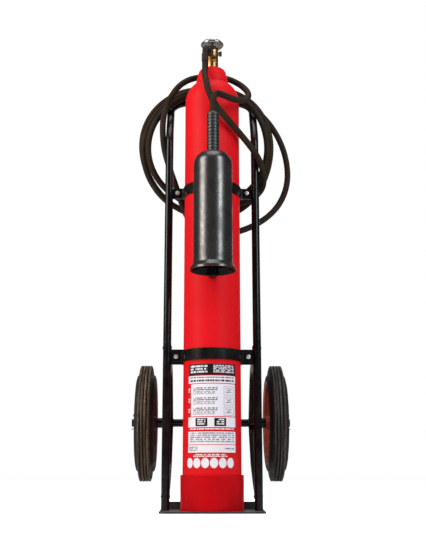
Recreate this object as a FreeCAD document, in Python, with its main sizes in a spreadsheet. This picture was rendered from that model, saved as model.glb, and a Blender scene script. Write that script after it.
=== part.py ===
"""Wheeled carbon dioxide fire extinguisher: a cylinder clamped to a two-wheeled trolley.

Millimetres, +Z up. The origin is on the floor, on the cylinder's axis. The front, where
the horn hangs, is -Y, and the wheels are behind the cylinder, at +Y.
"""
import FreeCAD, Part
import math
import os
import re
import sys
import Sketcher
from FreeCAD import Placement, Rotation, Vector

# Driving sizes, in millimetres and degrees
SIZES = {
    # foot plate
    "plate_thickness": 4, "plate_side_margin": 12, "plate_front_margin": 3, "plate_rear_margin": 5,
    "plate_corner": 12, "flange_height": 21.5,
    # frame tubes
    "tube_radius": 10, "tube_wall": 2, "leg_gap": 40, "leg_length": 876,
    "arch_bend_rise": 55, "arch_bend_radius": 70, "arch_rise": 199, "arch_reach": 100,
    "arch_corner_radius": 50,
    "strut_top_rise": 175, "strut_upper_rise": 128, "strut_upper_inset": 56, "strut_rear_gap": 29,
    "strut_lower_inset": 56, "strut_lower_drop": 107, "strut_foot_rise": 26, "strut_bend_radius": 62,
    # axle and wheels
    "axle_radius": 10, "axle_back": 206, "axle_height": 217, "axle_end": 9.7, "spacer_length": 24.7,
    "spacer_wall": 3, "wheel_width": 50, "wheel_radius": 150, "crown_width": 29, "crown_depth": 27,
    "groove_width": 3, "groove_depth": 5, "shoulder_bevel": 7, "tread_round": 5,
    "rim_radius": 106, "rim_lip": 4, "rim_wall": 3.5, "rim_width": 44, "rim_dish": 3,
    "hub_radius": 17, "hub_flat": 26, "bush_radius": 13, "running_gap": 0.05, "side_gap": 0.3,
    "washer_radius": 17, "washer_thickness": 3, "pin_radius": 1.6, "pin_inset": 6, "pin_length": 34,
    # cylinder
    "cylinder_radius": 70, "cylinder_wall": 5, "cylinder_bottom": 12, "foot_ring_radius": 56,
    "bottom_rise": 18, "heel_radius": 10, "shoulder_height": 1031, "dome_radius": 62.5,
    "neck_radius": 22, "neck_bore": 13, "neck_length": 34.2, "boot_thickness": 5,
    "boot_height": 85, "boot_lip": 2,
    "collar_foot_radius": 41.8, "collar_waist_radius": 36.3, "collar_waist_drop": 12,
    "collar_round": 13, "collar_wall": 3.5, "collar_bore": 17, "collar_cover": 0.3,
    "tube_foot_gap": 12, "dip_radius": 6, "dip_bore": 4,
    # label
    "label_thickness": 0.4, "label_foot_gap": 13, "label_head_gap": 8, "label_angle": 114,
    # clamps
    "strap_thickness": 3, "strap_height": 27, "lower_strap_height": 364.5,
    "upper_strap_height": 782.5, "lug_height": 37, "lug_margin": 4, "bolt_gap": 18,
    "ear_margin": 9, "ear_bend": 4, "bolt_radius": 3, "bolt_head_width": 10,
    "bolt_head_height": 4.5, "bolt_end": 4, "nut_height": 5.5, "clamp_washer_radius": 7,
    "clamp_washer_thickness": 1.6,
    "fit_gap": 0.05,
    # valve
    "valve_radius": 16, "valve_bore": 6.2, "thread_depth": 26, "valve_seal_gap": 2.4,
    "seat_rise": 35, "chamber_depth": 21, "chamber_radius": 9, "seat_radius": 7,
    "seat_thickness": 5, "outlet_rise": 9, "outlet_bore": 2.5, "outlet_turn": 21,
    "outlet_radius": 7, "outlet_length": 24, "outlet_nut_width": 18, "outlet_nut_length": 15,
    "seal_thickness": 1.5, "tail_neck_radius": 5, "tail_radius": 7.5, "tail_run": 27.5,
    "tail_bend": 12, "tail_drop": 20, "tail_bore": 2.5, "boss_rise": 24, "boss_radius": 8,
    "boss_reach": 20, "boss_bore": 4, "disc_thickness": 1, "plug_radius": 9.5, "plug_length": 7,
    "plug_cup_radius": 5, "plug_cup_depth": 4, "bonnet_width": 26, "bonnet_height": 9,
    "bonnet_skirt": 4, "packing_height": 4, "screw_radius": 3.5, "screw_reach": 14.5,
    "screw_depth": 5, "screw_drop": 7.6, "screw_head_radius": 7, "screw_head_length": 6.5,
    # handwheel
    "spindle_radius": 4, "thread_radius": 3, "handwheel_radius": 30, "handwheel_thickness": 11,
    "handwheel_gap": 2, "hub_collar_radius": 10, "hub_drop": 1.5, "lobe_count": 6,
    "lobe_cut_radius": 9, "lobe_cut_offset": 36, "lobe_round": 2.2, "dish_radius": 20,
    "dish_depth": 3, "wheel_nut_width": 10, "wheel_nut_height": 5,
    # hose
    "hose_radius": 8, "ferrule_radius": 9, "ferrule_length": 24,
    # horn
    "horn_gap": 15.5, "horn_mouth_height": 548, "horn_lip_radius": 54.5, "horn_lip_depth": 5,
    "horn_radius": 46, "horn_flare_height": 16, "horn_flare_end": 8, "horn_body_length": 261,
    "horn_shoulder_radius": 33, "horn_wall": 3, "grip_length": 102, "grip_radius": 15,
    "grip_margin": 4, "rib_count": 11, "rib_depth": 1.6, "rib_width": 5, "rib_slope": 0.6,
    "nozzle_radius": 8, "nozzle_length": 26, "nozzle_bore": 3, "nozzle_rise": 10,
    # horn hook
    "hook_width": 18, "hook_thickness": 3, "hook_gap": 0.3, "hook_drop": 3.4, "hook_rise": 26,
    "hook_inset": 10.4, "hook_screw_radius": 3, "hook_screw_head": 2, "hook_screw_spacing": 14,
}

# Places that several pieces share, as rules

HALF_SPACING = "(cylinder_radius + leg_gap)"
LEG_TOP = "(plate_thickness + leg_length)"
BOOT_OUTER = "(cylinder_radius + boot_thickness)"
WHEEL_OFFSET = f"({HALF_SPACING} + tube_radius + spacer_length + side_gap + wheel_width / 2)"
AXLE_HALF = f"({WHEEL_OFFSET} + wheel_width / 2 + side_gap + washer_thickness + axle_end)"
DOME_CENTRE = "(cylinder_radius - dome_radius)"
NECK_TOP = (f"(shoulder_height + sqrt(dome_radius ^ 2 - (neck_radius - {DOME_CENTRE}) ^ 2)"
            " + neck_length)")
SEAT_LEVEL = f"({NECK_TOP} + seat_rise)"
VALVE_TOP = f"({SEAT_LEVEL} + chamber_depth)"
OUTLET_LEVEL = f"({SEAT_LEVEL} + outlet_rise)"
BOSS_LEVEL = f"({NECK_TOP} + boss_rise)"
SCREW_LEVEL = f"({VALVE_TOP} - screw_drop)"
HANDWHEEL_LEVEL = f"({VALVE_TOP} + bonnet_height + handwheel_gap + hub_drop)"
BOLT_OFFSET = "(cylinder_radius + bolt_gap)"
HORN_FORWARD = "(cylinder_radius + horn_gap + horn_lip_radius)"
HORN_SHOULDER = "(horn_mouth_height + horn_body_length)"
HORN_CROWN = f"({HORN_SHOULDER} + horn_shoulder_radius)"

doc = FreeCAD.newDocument("wheeled_extinguisher")
sheet = doc.addObject("Spreadsheet::Sheet", "Sizes")
for row, (alias, number) in enumerate(SIZES.items(), start=1):
    sheet.set(f"A{row}", alias)
    sheet.set(f"B{row}", str(number))
    sheet.setAlias(f"B{row}", alias)
doc.recompute()

nodes = []


# Small helpers for writing rules and shapes

def value(rule):
    """Work out a rule written in the sheet's words, such as "wheel_width / 2"."""
    return float(sheet.evalExpression(str(rule)))


def bound(rule):
    """Write the same rule for an object outside the sheet."""
    def full_name(word):
        return "Sizes." + word.group() if word.group() in SIZES else word.group()
    return re.sub(r"[a-z_]+", full_name, str(rule))


def settle(item, place=(0, 0, 0), turn=None):
    """Turn an object about an axis through its own origin and bind its place."""
    if turn:
        axis, angle = turn
        item.Placement = Placement(Vector(0, 0, 0), Rotation(Vector(*axis), value(angle)))
        if value(angle) > 0:
            item.setExpression("Placement.Rotation.Angle", bound(angle))
    for letter, rule in zip("xyz", place):
        item.setExpression(f"Placement.Base.{letter}", bound(rule))
    return item


def solid(kind, name, place=(0, 0, 0), turn=None, **rules):
    """Add a primitive with its sizes and its place bound to the sheet."""
    item = doc.addObject(f"Part::{kind}", name)
    for prop, rule in rules.items():
        item.setExpression(prop, bound(rule))
    return settle(item, place, turn)


def cut(name, base, tool):
    item = doc.addObject("Part::Cut", name)
    item.Base = base
    item.Tool = tool
    return item


def common(name, base, tool):
    item = doc.addObject("Part::Common", name)
    item.Base = base
    item.Tool = tool
    return item


def fuse(name, pieces):
    item = doc.addObject("Part::MultiFuse", name)
    item.Shapes = pieces
    return item


def group(name, pieces):
    item = doc.addObject("Part::Compound", name)
    item.Links = pieces
    return item


def keep(item, label):
    """Name a finished sub-part."""
    item.Label = label
    nodes.append(item)
    return item


def new_body(name, place=(0, 0, 0), turn=None):
    return settle(doc.addObject("PartDesign::Body", name), place, turn)


def new_sketch(body, role):
    """Put an empty sketch on one of the body's own origin planes."""
    plane = [item for item in body.Origin.OriginFeatures if item.Role == role][0]
    sketch = body.newObject("Sketcher::SketchObject", body.Name + "_outline")
    sketch.AttachmentSupport = [(plane, "")]
    sketch.MapMode = "FlatFace"
    return sketch


def circle(sketch, radius, across=0, up=0):
    """Draw a circle bound by its radius and centre."""
    centre = Vector(value(across), value(up), 0)
    index = sketch.addGeometry(Part.Circle(centre, Vector(0, 0, 1), value(radius)))
    rule = sketch.addConstraint(Sketcher.Constraint("Radius", index, value(radius)))
    sketch.setExpression(f"Constraints[{rule}]", bound(radius))
    for kind, place in (("DistanceX", across), ("DistanceY", up)):
        rule = sketch.addConstraint(Sketcher.Constraint(kind, -1, 1, index, 3, value(place)))
        sketch.setExpression(f"Constraints[{rule}]", bound(place))


def outline(sketch, corners):
    """Draw a closed outline through corners (across, up) or (across, up, radius).

    A radius makes the side that arrives at its corner an arc: above zero it turns to the
    left, below zero to the right.
    """
    spots = [Vector(value(corner[0]), value(corner[1]), 0) for corner in corners]
    ends = []
    for index, corner in enumerate(corners):
        start, end = spots[index - 1], spots[index]
        if len(corner) == 2:
            ends.append((sketch.addGeometry(Part.LineSegment(start, end)), 1, 2))
            continue
        radius = value(corner[2])
        chord = end.sub(start)
        left = Vector(-chord.y, chord.x, 0).normalize()
        to_centre = math.sqrt(radius ** 2 - (chord.Length / 2) ** 2)
        side = math.copysign(1, radius)
        middle = (start + end) * 0.5 - left * side * (abs(radius) - to_centre)
        side_index = sketch.addGeometry(Part.Arc(start, middle, end))
        ends.append((side_index, 1, 2) if radius > 0 else (side_index, 2, 1))
        rule = sketch.addConstraint(Sketcher.Constraint("Radius", side_index, abs(radius)))
        sketch.setExpression(f"Constraints[{rule}]", bound(f"abs({corner[2]})"))
    for index, corner in enumerate(corners):
        here, following = ends[index], ends[(index + 1) % len(ends)]
        sketch.addConstraint(Sketcher.Constraint(
            "Coincident", here[0], here[2], following[0], following[1]))
        for kind, place in (("DistanceX", corner[0]), ("DistanceY", corner[1])):
            rule = sketch.addConstraint(Sketcher.Constraint(
                kind, -1, 1, here[0], here[2], value(place)))
            sketch.setExpression(f"Constraints[{rule}]", bound(place))


def turned(name, corners, place=(0, 0, 0), turn=None, axis="V_Axis"):
    """Make a turned piece from its half section: across is the radius, up is the height."""
    body = new_body(name, place, turn)
    sketch = new_sketch(body, "XZ_Plane")
    outline(sketch, corners)
    revolution = body.newObject("PartDesign::Revolution", name + "_turned")
    revolution.Profile = sketch
    revolution.ReferenceAxis = (sketch, [axis])
    revolution.Angle = 360
    return body


def padded(name, role, length, place=(0, 0, 0), turn=None, corners=(), circles=()):
    """Make a piece of one thickness from its outline and holes."""
    body = new_body(name, place, turn)
    sketch = new_sketch(body, role)
    if corners:
        outline(sketch, corners)
    for ring in circles:
        circle(sketch, *ring)
    pad = body.newObject("PartDesign::Pad", name + "_pad")
    pad.Profile = sketch
    pad.setExpression("Length", bound(length))
    return body


def ring(name, outer, inner, height, place=(0, 0, 0), turn=None):
    """Make a plain tube or washer standing on its place."""
    return padded(name, "XY_Plane", height, place, turn, circles=((outer,), (inner,)))


def softened(body, radius, chosen):
    """Round the edges of a body that the test picks."""
    doc.recompute()
    base = body.Tip
    names = [f"Edge{i + 1}" for i, edge in enumerate(base.Shape.Edges) if chosen(edge)]
    fillet = body.newObject("PartDesign::Fillet", body.Name + "_fillet")
    fillet.Base = (base, names)
    fillet.setExpression("Radius", bound(radius))
    body.Tip = fillet
    return body


def hexagon(name, width, height, place, turn=None):
    """Make a hexagonal bar, width measured across its flats."""
    item = doc.addObject("Part::Prism", name)
    item.Polygon = 6
    item.setExpression("Circumradius", bound(f"({width}) / sqrt(3)"))
    item.setExpression("Height", bound(height))
    return settle(item, place, turn)


# Routes of tubes and hoses

def rounded_route(points, radii):
    """Join points with straight runs and tangent arcs of the given radii."""
    edges = []
    here = points[0]
    for before, corner, after, radius in zip(points, points[1:], points[2:], radii):
        arriving = corner.sub(before).normalize()
        leaving = after.sub(corner).normalize()
        half_turn = arriving.getAngle(leaving) / 2
        reach = radius * math.tan(half_turn)
        start = corner - arriving * reach
        end = corner + leaving * reach
        inward = (leaving - arriving).normalize()
        middle = corner + inward * radius * (1 / math.cos(half_turn) - 1)
        if here.distanceToPoint(start) > 1e-6:
            edges.append(Part.LineSegment(here, start).toShape())
        edges.append(Part.Arc(start, middle, end).toShape())
        here = end
    edges.append(Part.LineSegment(here, points[-1]).toShape())
    return Part.Wire(edges)


def piped(wire, radius):
    """Sweep a disc along a route."""
    first = wire.Edges[0]
    start = first.valueAt(first.FirstParameter)
    heading = first.tangentAt(first.FirstParameter)
    section = Part.Wire([Part.makeCircle(radius, start, heading)])
    return wire.makePipeShell([section], True, False)


def shaped(name, shape):
    """Keep a shape that no primitive or body makes, and place it."""
    item = doc.addObject("Part::Feature", name)
    item.Shape = shape
    item.Placement = Placement(Vector(0, 0, 0), Rotation())
    return item


def cord_radii(points):
    """Give each corner of a hose the largest arc that its two runs allow."""
    radii = []
    for before, corner, after in zip(points, points[1:], points[2:]):
        arriving = corner.sub(before)
        leaving = after.sub(corner)
        half_turn = arriving.getAngle(leaving) / 2
        radii.append(0.45 * min(arriving.Length, leaving.Length) / math.tan(half_turn))
    return radii


def hose(name, route):
    """Make one free stretch of hose and print how tightly it bends."""
    points = [Vector(*point) for point in route]
    radii = cord_radii(points)
    wire = rounded_route(points, radii)
    radius = value("hose_radius")
    shape = piped(wire, radius)
    print(name, "length", round(wire.Length), "radii", [round(r) for r in radii])
    print(name, "volume over section times length", shape.Volume / (math.pi * radius ** 2 * wire.Length))
    return shaped(name, shape)


# Foot plate: flat steel with its rear edge folded up

plate_half = f"({HALF_SPACING} + plate_side_margin)"
plate_front = f"({BOOT_OUTER} + plate_front_margin)"
plate_rear = f"({BOOT_OUTER} + plate_rear_margin)"
plate = padded(
    "base_plate_body", "XY_Plane", "plate_thickness",
    corners=((f"-{plate_half}", f"-{plate_front}"), (plate_half, f"-{plate_front}"),
             (plate_half, plate_rear), (f"-{plate_half}", plate_rear)))
flange = plate.newObject("PartDesign::Pad", "plate_flange")
flange_sketch = new_sketch(plate, "XY_Plane")
outline(flange_sketch, (
    (f"-{plate_half} + plate_corner", f"{plate_rear} - plate_thickness"),
    (f"{plate_half} - plate_corner", f"{plate_rear} - plate_thickness"),
    (f"{plate_half} - plate_corner", plate_rear),
    (f"-{plate_half} + plate_corner", plate_rear)))
flange.Profile = flange_sketch
flange.setExpression("Length", bound("flange_height"))
plate.Tip = flange
softened(plate, "plate_corner * 0.95", lambda edge: (
    abs(edge.Length - value("plate_thickness")) < 0.01
    and edge.CenterOfMass.y < 0 and abs(edge.CenterOfMass.x) > value(plate_half) - 0.1))
keep(plate, "base_plate")

# Legs: two upright tubes, standing on the plate

for side, name in ((-1, "left_leg"), (1, "right_leg")):
    keep(ring(name + "_body", "tube_radius", "tube_radius - tube_wall", "leg_length",
              place=(f"{side} * {HALF_SPACING}", 0, "plate_thickness")), name)

# Handle arch: one tube that carries both legs on, leans back and crosses over

half_spacing = value(HALF_SPACING)
leg_top = value(LEG_TOP)
arch_bend = leg_top + value("arch_bend_rise")
arch_top = leg_top + value("arch_rise")
arch_points = []
for side in (-1, 1):
    upright = [Vector(side * half_spacing, 0, leg_top),
               Vector(side * half_spacing, 0, arch_bend),
               Vector(side * half_spacing, value("arch_reach"), arch_top)]
    arch_points += upright if side < 0 else upright[::-1]
arch_radii = [value("arch_bend_radius"), value("arch_corner_radius"),
              value("arch_corner_radius"), value("arch_bend_radius")]
arch_wire = rounded_route(arch_points, arch_radii)
tube_inner = value("tube_radius - tube_wall")
arch_shape = piped(arch_wire, value("tube_radius")).cut(piped(arch_wire, tube_inner))
keep(shaped("handle_arch_tube", arch_shape), "handle_arch")

# Rear struts: tubes bowed back from each leg, round the axle, and down to the foot

axle_bar = solid("Cylinder", "axle_bar", Radius="axle_radius", Height=f"2 * {AXLE_HALF}",
                 place=(f"-{AXLE_HALF}", "axle_back", "axle_height"), turn=((0, 1, 0), 90))
doc.recompute()
for side, name in ((-1, "left_strut"), (1, "right_strut")):
    across = side * half_spacing
    strut_points = [Vector(across, *place) for place in (
        (0, value("axle_height + strut_top_rise")),
        (value("axle_back - strut_upper_inset"), value("axle_height + strut_upper_rise")),
        (value("axle_back + strut_rear_gap"), value("axle_height")),
        (value("axle_back - strut_lower_inset"), value("axle_height - strut_lower_drop")),
        (0, value("plate_thickness + strut_foot_rise")))]
    strut_wire = rounded_route(strut_points, [value("strut_bend_radius")] * 3)
    strut_shape = piped(strut_wire, value("tube_radius")).cut(piped(strut_wire, tube_inner))
    leg_space = Part.makeCylinder(value("tube_radius"), leg_top, Vector(across, 0, 0))
    keep(shaped(name + "_tube", strut_shape.cut(leg_space).cut(axle_bar.Shape)), name)

# Axle with a cross hole for a split pin near each end

pin_offset = f"{AXLE_HALF} - pin_inset"
pin_holes = [
    solid("Cylinder", f"pin_hole_{side}", Radius="pin_radius + fit_gap", Height="4 * axle_radius",
          place=(f"{side} * ({pin_offset})", "axle_back", "axle_height - 2 * axle_radius"))
    for side in (-1, 1)]
keep(cut("axle_drilled", axle_bar, fuse("pin_holes", pin_holes)), "axle")

# Spacers between each strut and its wheel, and washers outside the wheels

inner_spacers = []
outer_washers = []
split_pins = []
for side, word in ((-1, "left"), (1, "right")):
    near = f"({HALF_SPACING} + tube_radius)"
    far = f"({WHEEL_OFFSET} + wheel_width / 2 + side_gap)"
    start = near if side > 0 else f"-{near} - spacer_length"
    inner_spacers.append(ring(
        f"{word}_spacer", "axle_radius + spacer_wall", "axle_radius + fit_gap", "spacer_length",
        place=(start, "axle_back", "axle_height"), turn=((0, 1, 0), 90)))
    start = far if side > 0 else f"-{far} - washer_thickness"
    outer_washers.append(ring(
        f"{word}_washer", "washer_radius", "axle_radius + fit_gap", "washer_thickness",
        place=(start, "axle_back", "axle_height"), turn=((0, 1, 0), 90)))
    pin_across = f"{side} * ({pin_offset})"
    pin_top = "axle_height + pin_length / 2"
    pin_foot = "axle_height - pin_length / 2"
    stem = solid("Cylinder", f"{word}_pin_stem", Radius="pin_radius", Height="pin_length",
                 place=(pin_across, "axle_back", pin_foot))
    eye = solid("Torus", f"{word}_pin_eye", Radius1="2 * pin_radius", Radius2="pin_radius * 0.9",
                place=(pin_across, "axle_back", f"{pin_top} + 2 * pin_radius"),
                turn=((1, 0, 0), 90))
    tail = solid("Cylinder", f"{word}_pin_tail", Radius="pin_radius * 0.8", Height="5 * pin_radius",
                 place=(pin_across, "axle_back", f"{pin_foot} + pin_radius"),
                 turn=((0, side, 0), 100))
    split_pins.append(fuse(f"{word}_split_pin", [stem, eye, tail]))
keep(group("inner_spacer_pair", inner_spacers), "inner_spacers")
keep(group("outer_washer_pair", outer_washers), "outer_washers")
keep(group("split_pin_pair", split_pins), "split_pins")

# Wheels: solid tyre with ribbed crown, pressed rim with a hub tube, and a plain bush

tyre_shoulder = "(wheel_radius - crown_depth)"
rib_pitch = "((crown_width + groove_width) / 4)"
half_crown = "crown_width / 2"
half_tyre = "wheel_width / 2"
half_rim = "rim_width / 2"
lip_radius = "(rim_radius + rim_lip)"
right_tyre_side = [
    (f"{half_crown} - 1.5", "wheel_radius"), (f"{half_crown} + 1", "wheel_radius - 4", "-tread_round"),
    (f"{half_crown} + 2", f"{tyre_shoulder} + 2"), (f"{half_tyre} - 3", tyre_shoulder),
    (half_tyre, f"{tyre_shoulder} - shoulder_bevel", "-tread_round"),
    (f"{half_rim} + 2.2", f"{lip_radius} + 0.4"), (half_rim, f"{lip_radius} + fit_gap"),
    (half_rim, "rim_radius")]
left_tyre_side = [
    (f"-{half_rim}", "rim_radius"), (f"-{half_rim}", f"{lip_radius} + fit_gap"),
    (f"-{half_rim} - 2.2", f"{lip_radius} + 0.4"), (f"-{half_tyre}", f"{tyre_shoulder} - shoulder_bevel"),
    (f"-{half_tyre} + 3", tyre_shoulder, "-tread_round"), (f"-{half_crown} - 2", f"{tyre_shoulder} + 2"),
    (f"-{half_crown} - 1", "wheel_radius - 4"),
    (f"-{half_crown} + 1.5", "wheel_radius", "-tread_round")]
grooves = []
for groove in (-1, 0, 1):
    middle = f"{groove} * {rib_pitch}"
    grooves += [
        (f"{middle} - groove_width / 2", "wheel_radius"),
        (f"{middle} - groove_width / 2 + 0.4", "wheel_radius - groove_depth"),
        (f"{middle} + groove_width / 2 - 0.4", "wheel_radius - groove_depth"),
        (f"{middle} + groove_width / 2", "wheel_radius")]
tyre_outline = left_tyre_side + grooves + right_tyre_side

hub_inner = "bush_radius + fit_gap"
rim_inner = "(rim_radius - rim_wall)"
rim_outline = [
    (f"-{half_rim}", rim_inner), ("-rim_wall / 2 - 4", rim_inner),
    ("-rim_wall / 2 - 4", f"{rim_inner} - 8"), ("-rim_wall / 2 + rim_dish", "hub_radius + hub_flat"),
    ("-rim_wall / 2", "hub_radius"), (f"-{half_tyre}", "hub_radius"),
    (f"-{half_tyre}", hub_inner), (half_tyre, hub_inner), (half_tyre, "hub_radius"),
    ("rim_wall / 2", "hub_radius"), ("rim_wall / 2 + rim_dish", "hub_radius + hub_flat"),
    ("rim_wall / 2 - 4", f"{rim_inner} - 8"), ("rim_wall / 2 - 4", rim_inner),
    (half_rim, rim_inner), (f"{half_rim} + 2", lip_radius),
    (f"{half_rim} + fit_gap", lip_radius), (f"{half_rim} + fit_gap", "rim_radius - fit_gap"),
    (f"-{half_rim} - fit_gap", "rim_radius - fit_gap"), (f"-{half_rim} - fit_gap", lip_radius),
    (f"-{half_rim} - 2", lip_radius)]

for side, word in ((-1, "left"), (1, "right")):
    centre = (f"{side} * {WHEEL_OFFSET}", "axle_back", "axle_height")
    keep(turned(f"{word}_tyre_body", tyre_outline, centre, axis="H_Axis"), f"{word}_tyre")
    keep(turned(f"{word}_rim_body", rim_outline, centre, axis="H_Axis"), f"{word}_rim")
    bush_start = (f"{side} * {WHEEL_OFFSET} - wheel_width / 2", "axle_back", "axle_height")
    keep(ring(f"{word}_bush_body", "bush_radius", "axle_radius + running_gap", "wheel_width",
              bush_start, turn=((0, 1, 0), 90)), f"{word}_bush")

# Cylinder: seamless steel shell with a hollowed foot, a dome and a threaded neck

foot = "plate_thickness"
dome_top = f"{NECK_TOP} - neck_length"
inner_dome = "(dome_radius - cylinder_wall)"
inner_dome_top = f"shoulder_height + sqrt({inner_dome} ^ 2 - (neck_bore - {DOME_CENTRE}) ^ 2)"
bore_radius = "(cylinder_radius - cylinder_wall)"
keep(turned("cylinder_body", (
    (0, f"{foot} + bottom_rise"), ("foot_ring_radius - 6", f"{foot} + 8"),
    ("foot_ring_radius", foot), ("cylinder_radius - heel_radius", foot),
    ("cylinder_radius", f"{foot} + heel_radius", "heel_radius"),
    ("cylinder_radius", "shoulder_height"), ("neck_radius", dome_top, "dome_radius"),
    ("neck_radius", NECK_TOP), ("neck_bore", NECK_TOP),
    ("neck_bore", inner_dome_top), (bore_radius, "shoulder_height", f"-{inner_dome}"),
    (bore_radius, f"{foot} + bottom_rise + cylinder_bottom + 6"),
    (f"{bore_radius} - 14", f"{foot} + cylinder_bottom + 10"),
    (0, f"{foot} + bottom_rise + cylinder_bottom"))), "cylinder_shell")

# Foot boot: red sleeve round the bottom of the cylinder, with a rolled top edge

boot_inner = "cylinder_radius + fit_gap"
keep(turned("boot_body", (
    (boot_inner, foot), (BOOT_OUTER, foot), (BOOT_OUTER, "boot_height - boot_lip"),
    (f"{BOOT_OUTER} - boot_lip", "boot_height", "boot_lip"), (boot_inner, "boot_height"))), "foot_boot")

# Neck collar: red cap over the shoulder, open where the valve comes out


def dome_level(radius):
    """Give the height of the dome's surface at a radius."""
    return f"(shoulder_height + sqrt(dome_radius ^ 2 - ({radius} - {DOME_CENTRE}) ^ 2))"


brim = "(collar_foot_radius + 0.2)"
brim_level = f"({dome_level(brim)} + 0.7)"
brim_inner = "(collar_foot_radius - collar_wall)"
crease = "(collar_foot_radius - 2.4)"
waist_level = f"({NECK_TOP} - collar_waist_drop)"
collar_top = f"({NECK_TOP} + 1.5)"
keep(turned("collar_body", (
    (brim, brim_level), ("collar_foot_radius - 0.2", f"{brim_level} + 12"),
    ("collar_foot_radius - 1.2", f"{brim_level} + 13"), (crease, f"{brim_level} + 20.5"),
    ("collar_waist_radius", waist_level), ("neck_radius + 4", f"{collar_top} - 2", "collar_round"),
    ("neck_radius + 1.5", collar_top), ("collar_bore", collar_top),
    ("collar_bore", f"{NECK_TOP} + collar_cover"),
    ("neck_radius + fit_gap", f"{NECK_TOP} + collar_cover"),
    ("neck_radius + fit_gap", f"{NECK_TOP} - 6"),
    ("collar_waist_radius - collar_wall", f"{waist_level} - 2"),
    (f"{crease} - collar_wall", f"{brim_level} + 19"),
    (brim_inner, f"{dome_level(brim_inner)} + collar_cover"))), "neck_collar")

# Label: a thin blank film on the front of the cylinder

label_foot = "(boot_height + label_foot_gap)"
label_height = f"lower_strap_height - strap_height / 2 - label_head_gap - {label_foot}"
film_outer = solid("Cylinder", "film_outer", Radius="cylinder_radius + fit_gap + label_thickness",
                   Height=label_height, Angle="label_angle",
                   place=(0, 0, label_foot), turn=((0, 0, 1), "270 - label_angle / 2"))
film_inner = solid("Cylinder", "film_inner", Radius="cylinder_radius + fit_gap",
                   Height=label_height, place=(0, 0, label_foot))
keep(cut("label_film", film_outer, film_inner), "label")

# Clamps: a rear saddle welded to the legs, and a front band bolted to it

bolt_holes = {}
for word in ("lower", "upper"):
    middle = f"{word}_strap_height"
    bolt_holes[word] = fuse(f"{word}_bolt_holes", [
        solid("Cylinder", f"{word}_bolt_hole_{side}", Radius="bolt_radius + fit_gap",
              Height="4 * strap_thickness", place=(f"{side} * {BOLT_OFFSET}", "2 * strap_thickness", middle),
              turn=((1, 0, 0), 90))
        for side in (-1, 1)])

leg_spaces = fuse("leg_spaces", [
    solid("Cylinder", f"leg_space_{side}", Radius="tube_radius", Height="leg_length",
          place=(f"{side} * {HALF_SPACING}", 0, "plate_thickness"))
    for side in (-1, 1)])


# The hollow bend between the ring and a flat ear touches both

RING_OUTER = "(cylinder_radius + fit_gap + strap_thickness)"
BEND_REACH = f"sqrt(({RING_OUTER} + ear_bend) ^ 2 - (strap_thickness + ear_bend) ^ 2)"
BEND_START = f"({RING_OUTER} - strap_thickness / 2)"
BEND_EDGE = f"((strap_thickness + ear_bend) * {RING_OUTER} / ({RING_OUTER} + ear_bend))"


def clamp_half(name, word, side, height, reach):
    """Make half a clamp: side 1 is the rear saddle, side -1 the front band."""
    low = f"{word}_strap_height - ({height}) / 2"
    outer = solid("Cylinder", name + "_outer", Radius=RING_OUTER, Height=height, place=(0, 0, low))
    start = 0 if side > 0 else "-strap_thickness"
    ears = solid("Box", name + "_ears", Length=f"2 * ({reach})", Width="strap_thickness",
                 Height=height, place=(f"-({reach})", start, low))
    bends = []
    bend_level = f"{side} * (strap_thickness + ear_bend)"
    block_start = "strap_thickness" if side > 0 else f"-{BEND_EDGE}"
    for hand in (-1, 1):
        tag = f"{name}_{'left' if hand < 0 else 'right'}_bend"
        corner = BEND_START if hand > 0 else f"-{BEND_REACH}"
        block = solid("Box", tag + "_block", Length=f"{BEND_REACH} - {BEND_START}",
                      Width=f"{BEND_EDGE} - strap_thickness", Height=height,
                      place=(corner, block_start, low))
        hollow = solid("Cylinder", tag + "_hollow", Radius="ear_bend", Height=height,
                       place=(f"{hand} * {BEND_REACH}", bend_level, low))
        bends.append(cut(tag, block, hollow))
    inner = solid("Cylinder", name + "_inner", Radius="cylinder_radius + fit_gap",
                  Height=height, place=(0, 0, low))
    reach_y = 0 if side > 0 else "-2 * cylinder_radius"
    half = solid("Box", name + "_half", Length="4 * cylinder_radius", Width="2 * cylinder_radius",
                 Height=height, place=("-2 * cylinder_radius", reach_y, low))
    strap = cut(name + "_strap", fuse(name + "_blank", [outer, ears] + bends), inner)
    halved = common(name + "_halved", strap, half)
    drilled = cut(name + "_drilled", halved, bolt_holes[word])
    return cut(name + "_fitted", drilled, leg_spaces)


lug_reach = f"{HALF_SPACING} - lug_margin"
ear_reach = f"{BOLT_OFFSET} + ear_margin"
keep(clamp_half("upper_saddle_part", "upper", 1, "strap_height", lug_reach), "upper_saddle")
keep(clamp_half("lower_saddle_part", "lower", 1, "lug_height", lug_reach), "lower_saddle")
keep(clamp_half("upper_band_part", "upper", -1, "strap_height", ear_reach), "upper_band")
keep(clamp_half("lower_band_part", "lower", -1, "strap_height", ear_reach), "lower_band")

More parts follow.
